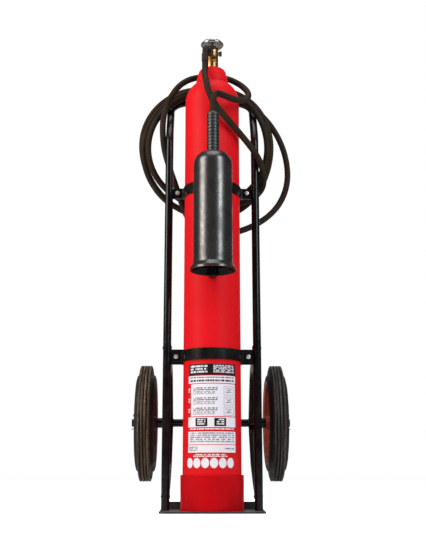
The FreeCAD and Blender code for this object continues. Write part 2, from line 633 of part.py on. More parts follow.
bolts = []
nuts = []
washers = []
for word in ("lower", "upper"):
    for side in (-1, 1):
        tag = f"{word}_{'left' if side < 0 else 'right'}"
        across = f"{side} * {BOLT_OFFSET}"
        middle = f"{word}_strap_height"
        face = "-strap_thickness - clamp_washer_thickness"
        head = hexagon(tag + "_head", "bolt_head_width", "bolt_head_height",
                       (across, face, middle), ((1, 0, 0), 90))
        shank_length = "2 * strap_thickness + clamp_washer_thickness + nut_height + bolt_end"
        shank = solid("Cylinder", tag + "_shank", Radius="bolt_radius", Height=shank_length,
                      place=(across, f"{face} + ({shank_length})", middle), turn=((1, 0, 0), 90))
        bolts.append(fuse(tag + "_bolt", [head, shank]))
        nut_blank = hexagon(tag + "_nut_blank", "bolt_head_width", "nut_height",
                            (across, "strap_thickness + nut_height", middle), ((1, 0, 0), 90))
        nut_bore = solid("Cylinder", tag + "_nut_bore", Radius="bolt_radius + fit_gap",
                         Height="4 * nut_height", place=(across, "3 * nut_height", middle),
                         turn=((1, 0, 0), 90))
        nuts.append(cut(tag + "_nut", nut_blank, nut_bore))
        washers.append(ring(tag + "_washer", "clamp_washer_radius", "bolt_radius + fit_gap",
                            "clamp_washer_thickness", (across, "-strap_thickness", middle), ((1, 0, 0), 90)))
keep(group("band_bolt_set", bolts), "band_bolts")
keep(group("band_nut_set", nuts), "band_nuts")
keep(group("band_washer_set", washers), "band_washers")

# Valve: brass body with an outlet, a burst disc boss and a chamber for the seat

stem_foot = f"({NECK_TOP} - thread_depth)"
shoulder_face = f"{NECK_TOP} + valve_seal_gap"
valve_blank = turned("valve_blank", (
    ("valve_bore", stem_foot), ("neck_bore - fit_gap", stem_foot),
    ("neck_bore - fit_gap", shoulder_face), ("valve_radius", shoulder_face),
    ("valve_radius", f"{VALVE_TOP} - 1.5"), ("valve_radius - 1.5", VALVE_TOP),
    ("chamber_radius", VALVE_TOP), ("chamber_radius", SEAT_LEVEL),
    ("seat_radius / 2", SEAT_LEVEL), ("seat_radius / 2", f"{SEAT_LEVEL} - 12"),
    ("valve_bore", f"{SEAT_LEVEL} - 14")))
outlet_turn = ((0, 0, 1), "360 - outlet_turn")
outlet_boss = solid("Cylinder", "outlet_boss", Radius="outlet_radius", Height="outlet_length",
                    turn=((1, 0, 0), 90))
outlet_hole = solid("Cylinder", "outlet_hole", Radius="outlet_bore", Height="outlet_length + 2",
                    turn=((1, 0, 0), 90))
front_boss = solid("Cylinder", "front_boss", Radius="boss_radius", Height="boss_reach",
                   place=(0, 0, BOSS_LEVEL), turn=((1, 0, 0), 90))
front_hole = solid("Cylinder", "front_hole", Radius="boss_bore", Height="boss_reach + 1",
                   place=(0, 0, BOSS_LEVEL), turn=((1, 0, 0), 90))
nub = solid("Cylinder", "screw_boss", Radius="screw_radius + 1.5", Height="valve_radius + 3",
            place=(0, 0, SCREW_LEVEL), turn=((0, 1, 0), 90))


def outward(name, item):
    """Turn a part that points forward to the outlet's direction, at the outlet's height."""
    turned_part = group(name, [item])
    return settle(turned_part, (0, 0, OUTLET_LEVEL), outlet_turn)


chamber_space = solid("Cylinder", "chamber_space", Radius="chamber_radius", Height="chamber_depth",
                      place=(0, 0, SEAT_LEVEL))
lower_space = solid("Cylinder", "lower_space", Radius="seat_radius / 2", Height="seat_rise",
                    place=(0, 0, NECK_TOP))
bosses = fuse("valve_bosses", [outward("outlet_boss_turned", outlet_boss), front_boss, nub])
bored = cut("valve_bosses_bored", bosses, fuse("valve_spaces", [chamber_space, lower_space]))
valve_solid = fuse("valve_solid", [valve_blank, bored])
screw_hole = solid("Cylinder", "screw_hole", Radius="screw_radius + fit_gap", Height="screw_reach",
                   place=("valve_radius - screw_depth", 0, SCREW_LEVEL), turn=((0, 1, 0), 90))
valve_holes = fuse("valve_holes", [outward("outlet_hole_turned", outlet_hole), front_hole, screw_hole])
keep(cut("valve_bored", valve_solid, valve_holes), "valve_body")

keep(solid("Torus", "neck_seal_ring", Radius1="neck_bore + 2", Radius2="valve_seal_gap / 2 - fit_gap",
           place=(0, 0, f"{NECK_TOP} + valve_seal_gap / 2")), "neck_seal")
tube_foot = "(plate_thickness + bottom_rise + 2 * tube_foot_gap)"
keep(ring("dip_tube_body", "dip_radius", "dip_bore", f"{stem_foot} + 10 - {tube_foot}",
          place=(0, 0, tube_foot)), "dip_tube")

# Burst disc and its plug, in the front boss

keep(solid("Cylinder", "burst_disc_blank", Radius="boss_radius", Height="disc_thickness",
           place=(0, "-boss_reach", BOSS_LEVEL), turn=((1, 0, 0), 90)), "burst_disc")
keep(turned("burst_plug_body", (
    (0, 0), ("plug_radius", 0), ("plug_radius", "plug_length - 2.5"),
    ("plug_radius - 2.5", "plug_length"), ("plug_cup_radius + 0.8", "plug_length"),
    ("plug_cup_radius", "plug_length - 1.2"), ("plug_cup_radius", "plug_length - plug_cup_depth"),
    (0, "plug_length - plug_cup_depth")),
    place=(0, "-boss_reach - disc_thickness", BOSS_LEVEL), turn=((1, 0, 0), 90)), "burst_plug")
keep(turned("side_screw_body", (
    (0, 0), ("screw_radius", 0), ("screw_radius", "screw_reach - screw_head_length"),
    ("screw_head_radius", "screw_reach - screw_head_length"),
    ("screw_head_radius", "screw_reach - 1.5"), ("screw_head_radius - 1.5", "screw_reach"),
    (0, "screw_reach")),
    place=("valve_radius - screw_depth", 0, SCREW_LEVEL), turn=((0, 1, 0), 90)), "side_screw")

# Bonnet nut with its skirt in the chamber, and the gland packing under it

bonnet_hex = hexagon("bonnet_hex", "bonnet_width", "bonnet_height", (0, 0, VALVE_TOP))
skirt = solid("Cylinder", "bonnet_skirt_blank", Radius="chamber_radius - fit_gap", Height="bonnet_skirt",
              place=(0, 0, f"{VALVE_TOP} - bonnet_skirt"))
spindle_bore = solid("Cylinder", "spindle_bore", Radius="spindle_radius + running_gap",
                     Height="4 * (bonnet_height + bonnet_skirt)",
                     place=(0, 0, f"{VALVE_TOP} - 2 * (bonnet_height + bonnet_skirt)"))
keep(cut("bonnet_bored", fuse("bonnet_blank", [bonnet_hex, skirt]), spindle_bore), "bonnet_nut")
keep(ring("packing_body", "chamber_radius - fit_gap", "spindle_radius + running_gap", "packing_height",
          place=(0, 0, f"{VALVE_TOP} - bonnet_skirt - packing_height")), "gland_packing")

# Seat disc, which rises to open the valve

keep(solid("Cylinder", "seat_disc_blank", Radius="seat_radius", Height="seat_thickness",
           place=(0, 0, f"{SEAT_LEVEL} + fit_gap")), "seat_disc")

# Spindle, handwheel and its nut, which turn together

spindle_foot = f"{SEAT_LEVEL} + seat_thickness + 2 * fit_gap"
wheel_top = f"{HANDWHEEL_LEVEL} + handwheel_thickness - dish_depth"
keep(turned("spindle_body", (
    (0, spindle_foot), ("spindle_radius", spindle_foot), ("spindle_radius", wheel_top),
    ("thread_radius", wheel_top), ("thread_radius", f"{wheel_top} + wheel_nut_height + 1.5"),
    (0, f"{wheel_top} + wheel_nut_height + 1.5"))), "spindle")

rim_disc = padded("handwheel_disc", "XY_Plane", "handwheel_thickness", circles=(("handwheel_radius",),))
lobe_sketch = new_sketch(rim_disc, "XY_Plane")
circle(lobe_sketch, "lobe_cut_radius", "lobe_cut_offset", 0)
lobe_cut = rim_disc.newObject("PartDesign::Pocket", "lobe_cut")
lobe_cut.Profile = lobe_sketch
lobe_cut.Type = "ThroughAll"
lobe_cut.Reversed = True
lobes = rim_disc.newObject("PartDesign::PolarPattern", "lobe_pattern")
lobes.Originals = [lobe_cut]
lobes.Axis = (lobe_sketch, ["N_Axis"])
lobes.Angle = 360
lobes.setExpression("Occurrences", bound("lobe_count"))
rim_disc.Tip = lobes
dish_sketch = new_sketch(rim_disc, "XZ_Plane")
outline(dish_sketch, ((0, "handwheel_thickness - dish_depth"),
                      ("dish_radius - 4", "handwheel_thickness - dish_depth"),
                      ("dish_radius", "handwheel_thickness"), (0, "handwheel_thickness")))
dish = rim_disc.newObject("PartDesign::Groove", "handwheel_dish")
dish.Profile = dish_sketch
dish.ReferenceAxis = (dish_sketch, ["V_Axis"])
dish.Angle = 360
rim_disc.Tip = dish
softened(rim_disc, "lobe_round", lambda edge: (
    abs(edge.CenterOfMass.z - value("handwheel_thickness")) < 0.01
    and edge.BoundBox.DiagonalLength < value("handwheel_radius")
    or abs(edge.CenterOfMass.z) < 0.01))
settle(rim_disc, (0, 0, HANDWHEEL_LEVEL))
hub = solid("Cylinder", "handwheel_hub", Radius="hub_collar_radius", Height="hub_drop + 1",
            place=(0, 0, f"{HANDWHEEL_LEVEL} - hub_drop"))
hub_bore = solid("Cylinder", "handwheel_bore", Radius="spindle_radius + fit_gap",
                 Height="4 * handwheel_thickness",
                 place=(0, 0, f"{HANDWHEEL_LEVEL} - 2 * handwheel_thickness"))
keep(cut("handwheel_bored", fuse("handwheel_blank", [rim_disc, hub]), hub_bore), "handwheel")
wheel_nut_blank = hexagon("wheel_nut_blank", "wheel_nut_width", "wheel_nut_height", (0, 0, wheel_top))
wheel_nut_bore = solid("Cylinder", "wheel_nut_bore", Radius="thread_radius + fit_gap",
                       Height="4 * wheel_nut_height", place=(0, 0, f"{wheel_top} - wheel_nut_height"))
keep(cut("wheel_nut_bored", wheel_nut_blank, wheel_nut_bore), "handwheel_nut")

# Outlet: seal, coupling nut, elbow and the ferrule that holds the hose

keep(outward("outlet_seal_turned", ring(
    "outlet_seal_body", "outlet_radius", "outlet_bore", "seal_thickness",
    (0, "-outlet_length", 0), ((1, 0, 0), 90))), "outlet_seal")
nut_start = "-outlet_length + outlet_nut_length / 2"
nut_blank = hexagon("outlet_nut_blank", "outlet_nut_width", "outlet_nut_length",
                    (0, nut_start, 0), ((1, 0, 0), 90))
nut_socket = solid("Cylinder", "outlet_nut_socket", Radius="outlet_radius + fit_gap",
                   Height="outlet_nut_length / 2 + seal_thickness + 1",
                   place=(0, f"{nut_start} + 1", 0), turn=((1, 0, 0), 90))
nut_neck = solid("Cylinder", "outlet_nut_neck", Radius="tail_neck_radius + fit_gap",
                 Height="4 * outlet_nut_length", place=(0, 0, 0), turn=((1, 0, 0), 90))
nut_bored = cut("outlet_nut_bored", nut_blank, fuse("outlet_nut_spaces", [nut_socket, nut_neck]))
keep(outward("outlet_nut_turned", nut_bored), "outlet_nut")

outlet_angle = math.radians(value("outlet_turn"))
outlet_heading = Vector(-math.sin(outlet_angle), -math.cos(outlet_angle), 0)
outlet_level = Vector(0, 0, value(OUTLET_LEVEL))
tail_start = outlet_level + outlet_heading * value("outlet_length + seal_thickness")
elbow_corner = tail_start + outlet_heading * value("tail_run")
tail_end = elbow_corner + Vector(0, 0, -value("tail_drop"))
tail_wire = rounded_route([tail_start, elbow_corner, tail_end], [value("tail_bend")])
nut_face = value("outlet_length + outlet_nut_length / 2 + fit_gap")
thick_start = outlet_level + outlet_heading * nut_face
thick_wire = rounded_route([thick_start, elbow_corner, tail_end], [value("tail_bend")])
tail_neck = Part.makeCylinder(value("tail_neck_radius"), value("tail_run - tail_bend"), tail_start,
                              outlet_heading)
tail_shape = piped(thick_wire, value("tail_radius")).fuse(tail_neck)
tail_shape = tail_shape.cut(piped(tail_wire, value("tail_bore")))
keep(shaped("hose_tail_tube", tail_shape), "hose_tail")
hose_start = tail_end + Vector(0, 0, -value("ferrule_length"))
ferrule = Part.makeCylinder(value("ferrule_radius"), value("ferrule_length"), hose_start)
rims = [edge for edge in ferrule.Edges if edge.Closed and edge.BoundBox.ZLength < 0.01]
ferrule = ferrule.makeChamfer(value("ferrule_radius - tail_radius"), rims)
ferrule_bore = Part.makeCylinder(value("tail_bore"), value("ferrule_length"), hose_start)
keep(shaped("valve_ferrule_sleeve", ferrule.cut(ferrule_bore)), "valve_ferrule")

# Hose routes, in millimetres: from the valve to the coil, and from the coil to the grip

coil_bottoms = ((0, 86, 774, 0), (0, 105, 771, -0.3), (0, 122, 757, 0), (0, 88, 698, 0))
coil_lefts = ((-168, 41, 923, 0), (-182, 62, 923, 0), (-190, 116, 952, -0.06))
coil_tops = ((0, 63, 1092, 0), (0, 77, 1109, 0), (0, 118, 1124, -0.17))
coil_rights = ((144, 17, 915, 0), (155, 40, 926, 0), (206, 112, 887, 0.05))

valve_route = (
    tuple(hose_start), (hose_start.x, hose_start.y, hose_start.z - 16),
    (-20, -62, 1086), (-17, -78, 1060), (-13, -87, 1036), (-6, -91, 1013), (4, -91, 992),
    (19, -88, 973), (35, -81, 956), (52, -69, 941), (71, -50, 926), (89, -35, 910),
    (105, -30, 890), (119, -26, 868), (129, -12, 848), (134, 7, 830), (133, 28, 814), (125, 48, 803),
    (110, 62, 793), (88, 73, 785), (60, 82, 778), (30, 86, 774), (0, 86, 774))

grip_top = Vector(0, -value(HORN_FORWARD), value(f"{HORN_CROWN} + grip_length"))
horn_route = (
    (0, 88, 698), (-26, 88, 698), (-51, 83, 717), (-70, 69, 754), (-84, 53, 789), (-95, 43, 820),
    (-106, 36, 850), (-116, 30, 880), (-124, 25, 908), (-128, 21, 936), (-130, 19, 965),
    (-129, 19, 994), (-125, 23, 1021), (-117, 27, 1047), (-106, 30, 1070), (-93, 34, 1092),
    (-76, 38, 1110), (-55, 45, 1124), (-29, 55, 1134), (0, 60, 1138), (25, 54, 1132),
    (45, 44, 1123), (61, 31, 1109), (75, 16, 1093), (86, 0, 1075), (93, -18, 1056), (94, -34, 1038),
    (88, -50, 1021), (76, -67, 1010), (59, -85, 1004), (40, -104, 1002), (22, -121, 1002),
    (8, -134, 1000), (1, -140, 988), (0, grip_top.y, grip_top.z + 24), tuple(grip_top))

valve_run = hose("valve_run_tube", valve_route)
keep(valve_run, "hose_valve_run")


def bowed(start, heading, end):
    """Make the arc that leaves a point in a heading and meets another point."""
    chord = end - start
    length = chord.Length
    along = chord * (1 / length)
    sideways = heading - along * heading.dot(along)
    if sideways.Length < 1e-9:
        return Part.LineSegment(start, end).toShape()
    turn = heading.getAngle(along)
    middle = (start + end) * 0.5 + sideways.normalize() * (length / 2 * math.tan(turn / 2))
    return Part.Arc(start, middle, end).toShape()


def paired_arcs(start, leaving, end, arriving):
    """Join two points and headings with two arcs that share a heading where they meet."""
    gap = end - start
    both = leaving + arriving
    spread = 2 * (1 - leaving.dot(arriving))
    reach = (-gap.dot(both) + math.sqrt(gap.dot(both) ** 2 + spread * gap.dot(gap))) / spread
    first_corner = start + leaving * reach
    second_corner = end - arriving * reach
    meeting = (first_corner + second_corner) * 0.5
    shared = (second_corner - first_corner).normalize()
    return [bowed(start, leaving, meeting), bowed(meeting, shared, end)]


# Coil: three loops that hang behind the cylinder between the dome and the handle

quarter_points = []
for loop_number in range(3):
    for corner, heading in ((coil_bottoms, (-1, 0, 0)), (coil_lefts, (0, 0, 1)),
                            (coil_tops, (1, 0, 0)), (coil_rights, (0, 0, -1))):
        *spot, lean = corner[loop_number]
        aside = Vector(0, 0, lean) if heading[0] else Vector(lean, 0, 0)
        quarter_points.append((Vector(*spot), (Vector(*heading) + aside).normalize()))
quarter_points.append((Vector(*coil_bottoms[3][:3]), Vector(-1, 0, 0)))
coil_edges = []
for (start, leaving), (end, arriving) in zip(quarter_points, quarter_points[1:]):
    coil_edges += paired_arcs(start, leaving, end, arriving)
coil_wire = Part.Wire(coil_edges)
hose_section = value("hose_radius")
coil_shape = piped(coil_wire, hose_section)
keep(shaped("coil_tube", coil_shape), "hose_coil")

sample_count = 1200
samples = coil_wire.discretize(Number=sample_count)
apart = int(120 / coil_wire.Length * sample_count)
least_gap = min(
    samples[first].distanceToPoint(samples[second])
    for first in range(0, sample_count, 2)
    for second in range(first + apart, sample_count)) - 2 * hose_section
print("coil length", round(coil_wire.Length), "least gap to itself", round(least_gap, 2))
print("coil volume over section times length",
      coil_shape.Volume / (math.pi * hose_section ** 2 * coil_wire.Length))

horn_run = hose("horn_run_tube", horn_route)
keep(horn_run, "hose_horn_run")

# Horn: black plastic bell that hangs mouth down, with a ribbed grip and a brass nozzle

mouth = "horn_mouth_height"
flare = f"({mouth} + horn_flare_height)"
wall = "horn_wall"
crown_radius = "(horn_radius - horn_shoulder_radius)"
horn_place = (0, f"-{HORN_FORWARD}", 0)
keep(turned("horn_body", (
    (f"horn_lip_radius - {wall}", mouth), ("horn_lip_radius", mouth),
    ("horn_lip_radius", f"{mouth} + horn_lip_depth"),
    ("horn_lip_radius - 2", f"{mouth} + horn_lip_depth + 2"),
    ("horn_radius + 1", flare), ("horn_radius", f"{flare} + horn_flare_end"),
    ("horn_radius", HORN_SHOULDER), (crown_radius, HORN_CROWN, "horn_shoulder_radius"),
    ("nozzle_radius + fit_gap", HORN_CROWN), ("nozzle_radius + fit_gap", f"{HORN_CROWN} - {wall}"),
    (crown_radius, f"{HORN_CROWN} - {wall}"),
    (f"horn_radius - {wall}", HORN_SHOULDER, f"-(horn_shoulder_radius - {wall})"),
    (f"horn_radius - {wall}", f"{flare} + horn_flare_end"), (f"horn_radius + 1 - {wall}", flare)),
    horn_place), "horn")

rib_pitch_z = "((grip_length - 2 * grip_margin) / rib_count)"
grip_bore = "ferrule_radius + fit_gap"
grip_outline = [(grip_bore, 0), ("grip_radius", 0), ("grip_radius", "grip_margin")]
for rib in range(int(value("rib_count"))):
    base = f"grip_margin + {rib} * {rib_pitch_z}"
    grip_outline += [
        ("grip_radius - rib_depth", f"{base} + rib_slope"),
        ("grip_radius - rib_depth", f"{base} + {rib_pitch_z} - rib_width - rib_slope"),
        ("grip_radius", f"{base} + {rib_pitch_z} - rib_width"),
        ("grip_radius", f"{base} + {rib_pitch_z}")]
grip_outline += [("grip_radius - 2", "grip_length"), (grip_bore, "grip_length")]
keep(turned("horn_grip_body", grip_outline, (0, f"-{HORN_FORWARD}", HORN_CROWN)), "horn_grip")

nozzle_top = f"({HORN_CROWN} + nozzle_rise)"
keep(turned("horn_nozzle_body", (
    ("nozzle_bore", f"{nozzle_top} - nozzle_length"), ("nozzle_radius", f"{nozzle_top} - nozzle_length"),
    ("nozzle_radius", nozzle_top), ("nozzle_bore", nozzle_top)), horn_place), "horn_nozzle")
keep(ring("horn_ferrule_body", "ferrule_radius", "nozzle_bore", "grip_length - nozzle_rise",
          (0, f"-{HORN_FORWARD}", nozzle_top)), "horn_ferrule")

# Horn hook: a strip screwed to the upper band, bent forward and up inside the horn's mouth

strip_back = f"(-{RING_OUTER} - hook_gap)"
strip_front = f"({strip_back} - hook_thickness)"
hook_low = "(horn_mouth_height - hook_drop)"
hook_tip = f"(-{HORN_FORWARD} + horn_lip_radius - {wall} - hook_inset)"
hook_front = f"({hook_tip} - hook_thickness)"
strip_top = "upper_strap_height + strap_height / 2"
hook_body = new_body("horn_hook_strip", ("-hook_width / 2", 0, 0))
hook_sketch = new_sketch(hook_body, "YZ_Plane")
outline(hook_sketch, (
    (strip_back, strip_top), (strip_back, hook_low), (hook_front, hook_low),
    (hook_front, f"{hook_low} + hook_rise"), (hook_tip, f"{hook_low} + hook_rise"),
    (hook_tip, f"{hook_low} + hook_thickness"), (strip_front, f"{hook_low} + hook_thickness"),
    (strip_front, strip_top)))
hook_pad = hook_body.newObject("PartDesign::Pad", "hook_pad")
hook_pad.Profile = hook_sketch
hook_pad.setExpression("Length", bound("hook_width"))
softened(hook_body, "hook_thickness * 0.8", lambda edge: (
    abs(edge.Length - value("hook_width")) < 0.01
    and abs(edge.CenterOfMass.z - value(hook_low)) < 0.01))
screw_levels = [f"upper_strap_height + {offset} * hook_screw_spacing / 2" for offset in (-1, 1)]
hook_holes = fuse("hook_holes", [
    solid("Cylinder", f"hook_hole_{index}", Radius="hook_screw_radius + fit_gap",
          Height="4 * hook_thickness", place=(0, f"-{RING_OUTER} + hook_thickness", level),
          turn=((1, 0, 0), 90))
    for index, level in enumerate(screw_levels)])
keep(cut("hook_drilled", hook_body, hook_holes), "horn_hook")

screws = []
for index, level in enumerate(screw_levels):
    head = solid("Cylinder", f"hook_screw_head_{index}", Radius="hook_screw_radius + 2",
                 Height="hook_screw_head", place=(0, strip_front, level), turn=((1, 0, 0), 90))
    stem = solid("Cylinder", f"hook_screw_stem_{index}", Radius="hook_screw_radius",
                 Height="hook_thickness + hook_gap", place=(0, f"-{RING_OUTER}", level), turn=((1, 0, 0), 90))
    screws.append(fuse(f"hook_screw_{index}", [head, stem]))
keep(group("hook_screw_pair", screws), "hook_screws")

# Check every object, then write one file for each sub-part

doc.recompute()
failed = [item.Name for item in doc.Objects if "Invalid" in item.State or "Error" in item.State]
for node in nodes:
    if node.Shape.isNull() or not node.Shape.isValid() or not node.Shape.Solids:
        failed.append(node.Label)
if failed:
    sys.exit("these objects failed: " + ", ".join(failed))
os.makedirs("parts", exist_ok=True)
for node in nodes:
    node.Shape.exportStep(f"parts/{node.Label}.step")
print(len(nodes), "sub-parts written")
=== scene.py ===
import math
import bpy
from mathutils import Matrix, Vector


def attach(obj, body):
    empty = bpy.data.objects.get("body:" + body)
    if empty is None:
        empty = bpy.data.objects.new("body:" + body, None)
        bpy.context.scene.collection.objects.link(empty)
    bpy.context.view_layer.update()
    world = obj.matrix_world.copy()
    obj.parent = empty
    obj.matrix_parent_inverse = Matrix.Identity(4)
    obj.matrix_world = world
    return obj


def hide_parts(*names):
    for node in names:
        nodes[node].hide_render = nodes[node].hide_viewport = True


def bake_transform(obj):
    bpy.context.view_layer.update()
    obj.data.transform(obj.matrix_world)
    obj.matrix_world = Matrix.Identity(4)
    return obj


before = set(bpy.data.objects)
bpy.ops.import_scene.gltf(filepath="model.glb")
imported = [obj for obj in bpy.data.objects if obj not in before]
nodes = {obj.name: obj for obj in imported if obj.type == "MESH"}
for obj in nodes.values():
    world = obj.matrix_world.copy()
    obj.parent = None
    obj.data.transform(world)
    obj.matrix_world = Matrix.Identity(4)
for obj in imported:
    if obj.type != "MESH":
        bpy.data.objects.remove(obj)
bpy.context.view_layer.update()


# Camera: two metres in front and a hand's height over the floor, tipped up so that the foot
# plate and the handwheel are both in view.
camera_aside, camera_back, camera_up = -0.030, -2.070, 0.095
camera_tip, camera_turn, camera_lens = 103.5, -0.89, 57.41
camera_data = bpy.data.cameras.new("camera")
camera = bpy.data.objects.new("camera", camera_data)
bpy.context.scene.collection.objects.link(camera)
camera.location = (camera_aside, camera_back, camera_up)
camera.rotation_euler = (math.radians(camera_tip), 0, math.radians(camera_turn))
camera_data.lens = camera_lens
camera_data.sensor_fit = "VERTICAL"
camera_data.sensor_height = 36
camera_data.sensor_width = 36
bpy.context.scene.camera = camera
bpy.context.scene.view_settings.view_transform = "Standard"


# Studio: white paper underfoot that only holds the shadow, a tall soft box at each side, one
# overhead and one behind, and a sky that is white where it is seen directly.
def seen(red, green, blue):
    """Turn a colour as a screen shows it, from 0 to 255, into the light it stands for."""
    def channel(level):
        level = level / 255
        return level / 12.92 if level < 0.04045 else ((level + 0.055) / 1.055) ** 2.4
    return (channel(red), channel(green), channel(blue), 1)


def deselect():
    """Let nothing be selected, so that the next operator acts only on what it makes."""
    if bpy.context.object and bpy.context.object.mode != "OBJECT":
        bpy.ops.object.mode_set(mode="OBJECT")
    bpy.ops.object.select_all(action="DESELECT")


def add(tree, kind, sockets=(), **options):
    """Add a shader node, set its options, and give its sockets a value or another's output."""
    made = tree.nodes.new("ShaderNode" + kind)
    for option, choice in options.items():
        setattr(made, option, choice)
    for socket, given in dict(sockets).items():
        if isinstance(given, bpy.types.NodeSocket):
            tree.links.new(given, made.inputs[socket])
        else:
            made.inputs[socket].default_value = given
    return made


even_strength, mirrored_share, paper_glow = 0.38, 0.10, 0.67
world = bpy.data.worlds.new("studio_sky")
bpy.context.scene.world = world
world.use_nodes = True
sky = world.node_tree
even_light = sky.nodes["Background"]
even_light.inputs["Color"].default_value = (0.95, 0.97, 1, 1)
white_light = add(sky, "Background", {"Color": (1, 1, 1, 1), "Strength": 1})
sky_rays = add(sky, "LightPath")
mirrored = add(sky, "Math", {0: sky_rays.outputs["Is Glossy Ray"], 1: mirrored_share},
               operation="MULTIPLY")
even_level = add(sky, "MapRange", {"Value": sky_rays.outputs["Is Glossy Ray"],
                                   "To Min": even_strength, "To Max": 0.0})
sky.links.new(even_level.outputs[0], even_light.inputs["Strength"])
direct = add(sky, "Math", {0: sky_rays.outputs["Is Camera Ray"],
                           1: sky_rays.outputs["Is Transmission Ray"]}, operation="MAXIMUM")
white_share = add(sky, "Math", {0: direct.outputs[0], 1: mirrored.outputs[0]}, operation="MAXIMUM")
sky_mix = add(sky, "MixShader", {0: white_share.outputs[0], 1: even_light.outputs[0],
                                 2: white_light.outputs[0]})
sky.links.new(sky_mix.outputs[0], sky.nodes["World Output"].inputs["Surface"])

deselect()
bpy.ops.mesh.primitive_plane_add(size=30, location=(0, 0, 0))
floor = bpy.context.object
floor.name = "studio_floor"
floor_paper = bpy.data.materials.new("floor_paper")
floor_paper.use_nodes = True
paper = floor_paper.node_tree
paper_base = paper.nodes["Principled BSDF"]
paper_base.inputs["Base Color"].default_value = (0.86, 0.86, 0.86, 1)
paper_base.inputs["Roughness"].default_value = 0.9
paper_base.inputs["Specular IOR Level"].default_value = 0.1
paper_rays = add(paper, "LightPath")
paper_lift = add(paper, "Math", {0: paper_rays.outputs["Is Camera Ray"], 1: paper_glow},
                 operation="MULTIPLY")
paper_base.inputs["Emission Color"].default_value = (1, 1, 1, 1)
paper.links.new(paper_lift.outputs[0], paper_base.inputs["Emission Strength"])
floor.data.materials.append(floor_paper)


lamp_target = (0, 0, 0.95)


def soft_box(name, place, size, power, colour):
    """Hang a rectangular lamp that faces the cylinder's upper half."""
    lamp = bpy.data.lights.new(name, "AREA")
    lamp.shape = "RECTANGLE"
    lamp.size, lamp.size_y = size
    lamp.energy = power
    lamp.color = colour
    holder = bpy.data.objects.new(name, lamp)
    holder.location = place
    aim = Vector(lamp_target) - Vector(place)
    holder.rotation_euler = aim.to_track_quat("-Z", "Y").to_euler()
    bpy.context.scene.collection.objects.link(holder)


soft_box("left_soft_box", (-2.25, -1.15, 1.85), (1.3, 1.9), 72, (1, 0.95, 0.88))
soft_box("right_soft_box", (1.65, -1.85, 1.85), (0.8, 1.9), 43, (0.90, 0.96, 1))
soft_box("top_soft_box", (0, -0.4, 2.9), (1.6, 1.6), 22, (1, 1, 1))
soft_box("back_soft_box", (0.4, 2.2, 1.6), (1.6, 1.6), 8, (1, 1, 1))


# Foot plate: a 4 mm steel plate whose rear edge is folded up as a flange. It is painted matt
# black, mottled and scratched grey, and paler on its upward face.
def marks_group():
    """Build the wear that every finish shares: cloudy smudges, fine scratches, settled dust."""
    group = bpy.data.node_groups.new("handling_marks", "ShaderNodeTree")
    for name, usual in (("Cloud Size", 20.0), ("Scratch Size", 120.0), ("Scratch Share", 0.5)):
        socket = group.interface.new_socket(name, in_out="INPUT", socket_type="NodeSocketFloat")
        socket.default_value = usual
    for name in ("Cloud", "Scratch", "Dust"):
        group.interface.new_socket(name, in_out="OUTPUT", socket_type="NodeSocketFloat")
    given = group.nodes.new("NodeGroupInput")
    result = group.nodes.new("NodeGroupOutput")
    place = add(group, "TexCoord").outputs["Object"]
    cloud = add(group, "TexNoise", {"Vector": place, "Scale": given.outputs["Cloud Size"],
                                    "Detail": 4.0, "Roughness": 0.55})
    spread = add(group, "MapRange", {"Value": cloud.outputs["Fac"], "From Min": 0.32,
                                     "From Max": 0.68})
    upright = add(group, "Mapping", {"Vector": place, "Rotation": (0.35, 0.25, 0.0),
                                     "Scale": (1.0, 1.0, 0.16)})
    warped = add(group, "TexNoise", {"Vector": upright.outputs[0], "Scale": 14.0, "Detail": 2.0})
    shifted = add(group, "VectorMath", {0: warped.outputs["Color"], 1: (0.02, 0.02, 0.02),
                                        2: upright.outputs[0]}, operation="MULTIPLY_ADD")
    cells = add(group, "TexVoronoi", {"Vector": shifted.outputs[0],
                                      "Scale": given.outputs["Scratch Size"]},
                feature="DISTANCE_TO_EDGE")
    thin = add(group, "MapRange", {"Value": cells.outputs["Distance"], "From Min": 0.0,
                                   "From Max": 0.035, "To Min": 1.0, "To Max": 0.0})
    patches = add(group, "TexNoise", {"Vector": place, "Scale": 30.0, "Detail": 3.0})
    patchy = add(group, "MapRange", {"Value": patches.outputs["Fac"], "From Min": 0.52,
                                     "From Max": 0.66})
    scratch = add(group, "Math", {0: thin.outputs[0], 1: patchy.outputs[0]}, operation="MULTIPLY")
    shared = add(group, "Math", {0: scratch.outputs[0], 1: given.outputs["Scratch Share"]},
                 operation="MULTIPLY")
    facing = add(group, "SeparateXYZ", {0: add(group, "NewGeometry").outputs["Normal"]})
    upward = add(group, "MapRange", {"Value": facing.outputs["Z"], "From Min": 0.35,
                                     "From Max": 1.0})
    grit = add(group, "TexNoise", {"Vector": place, "Scale": 160.0, "Detail": 5.0,
                                   "Roughness": 0.7})
    gritty = add(group, "MapRange", {"Value": grit.outputs["Fac"], "From Min": 0.35,
                                     "From Max": 0.75})
    dust = add(group, "Math", {0: upward.outputs[0], 1: gritty.outputs[0]}, operation="MULTIPLY")
    group.links.new(spread.outputs[0], result.inputs["Cloud"])
    group.links.new(shared.outputs[0], result.inputs["Scratch"])
    group.links.new(dust.outputs[0], result.inputs["Dust"])
    return group


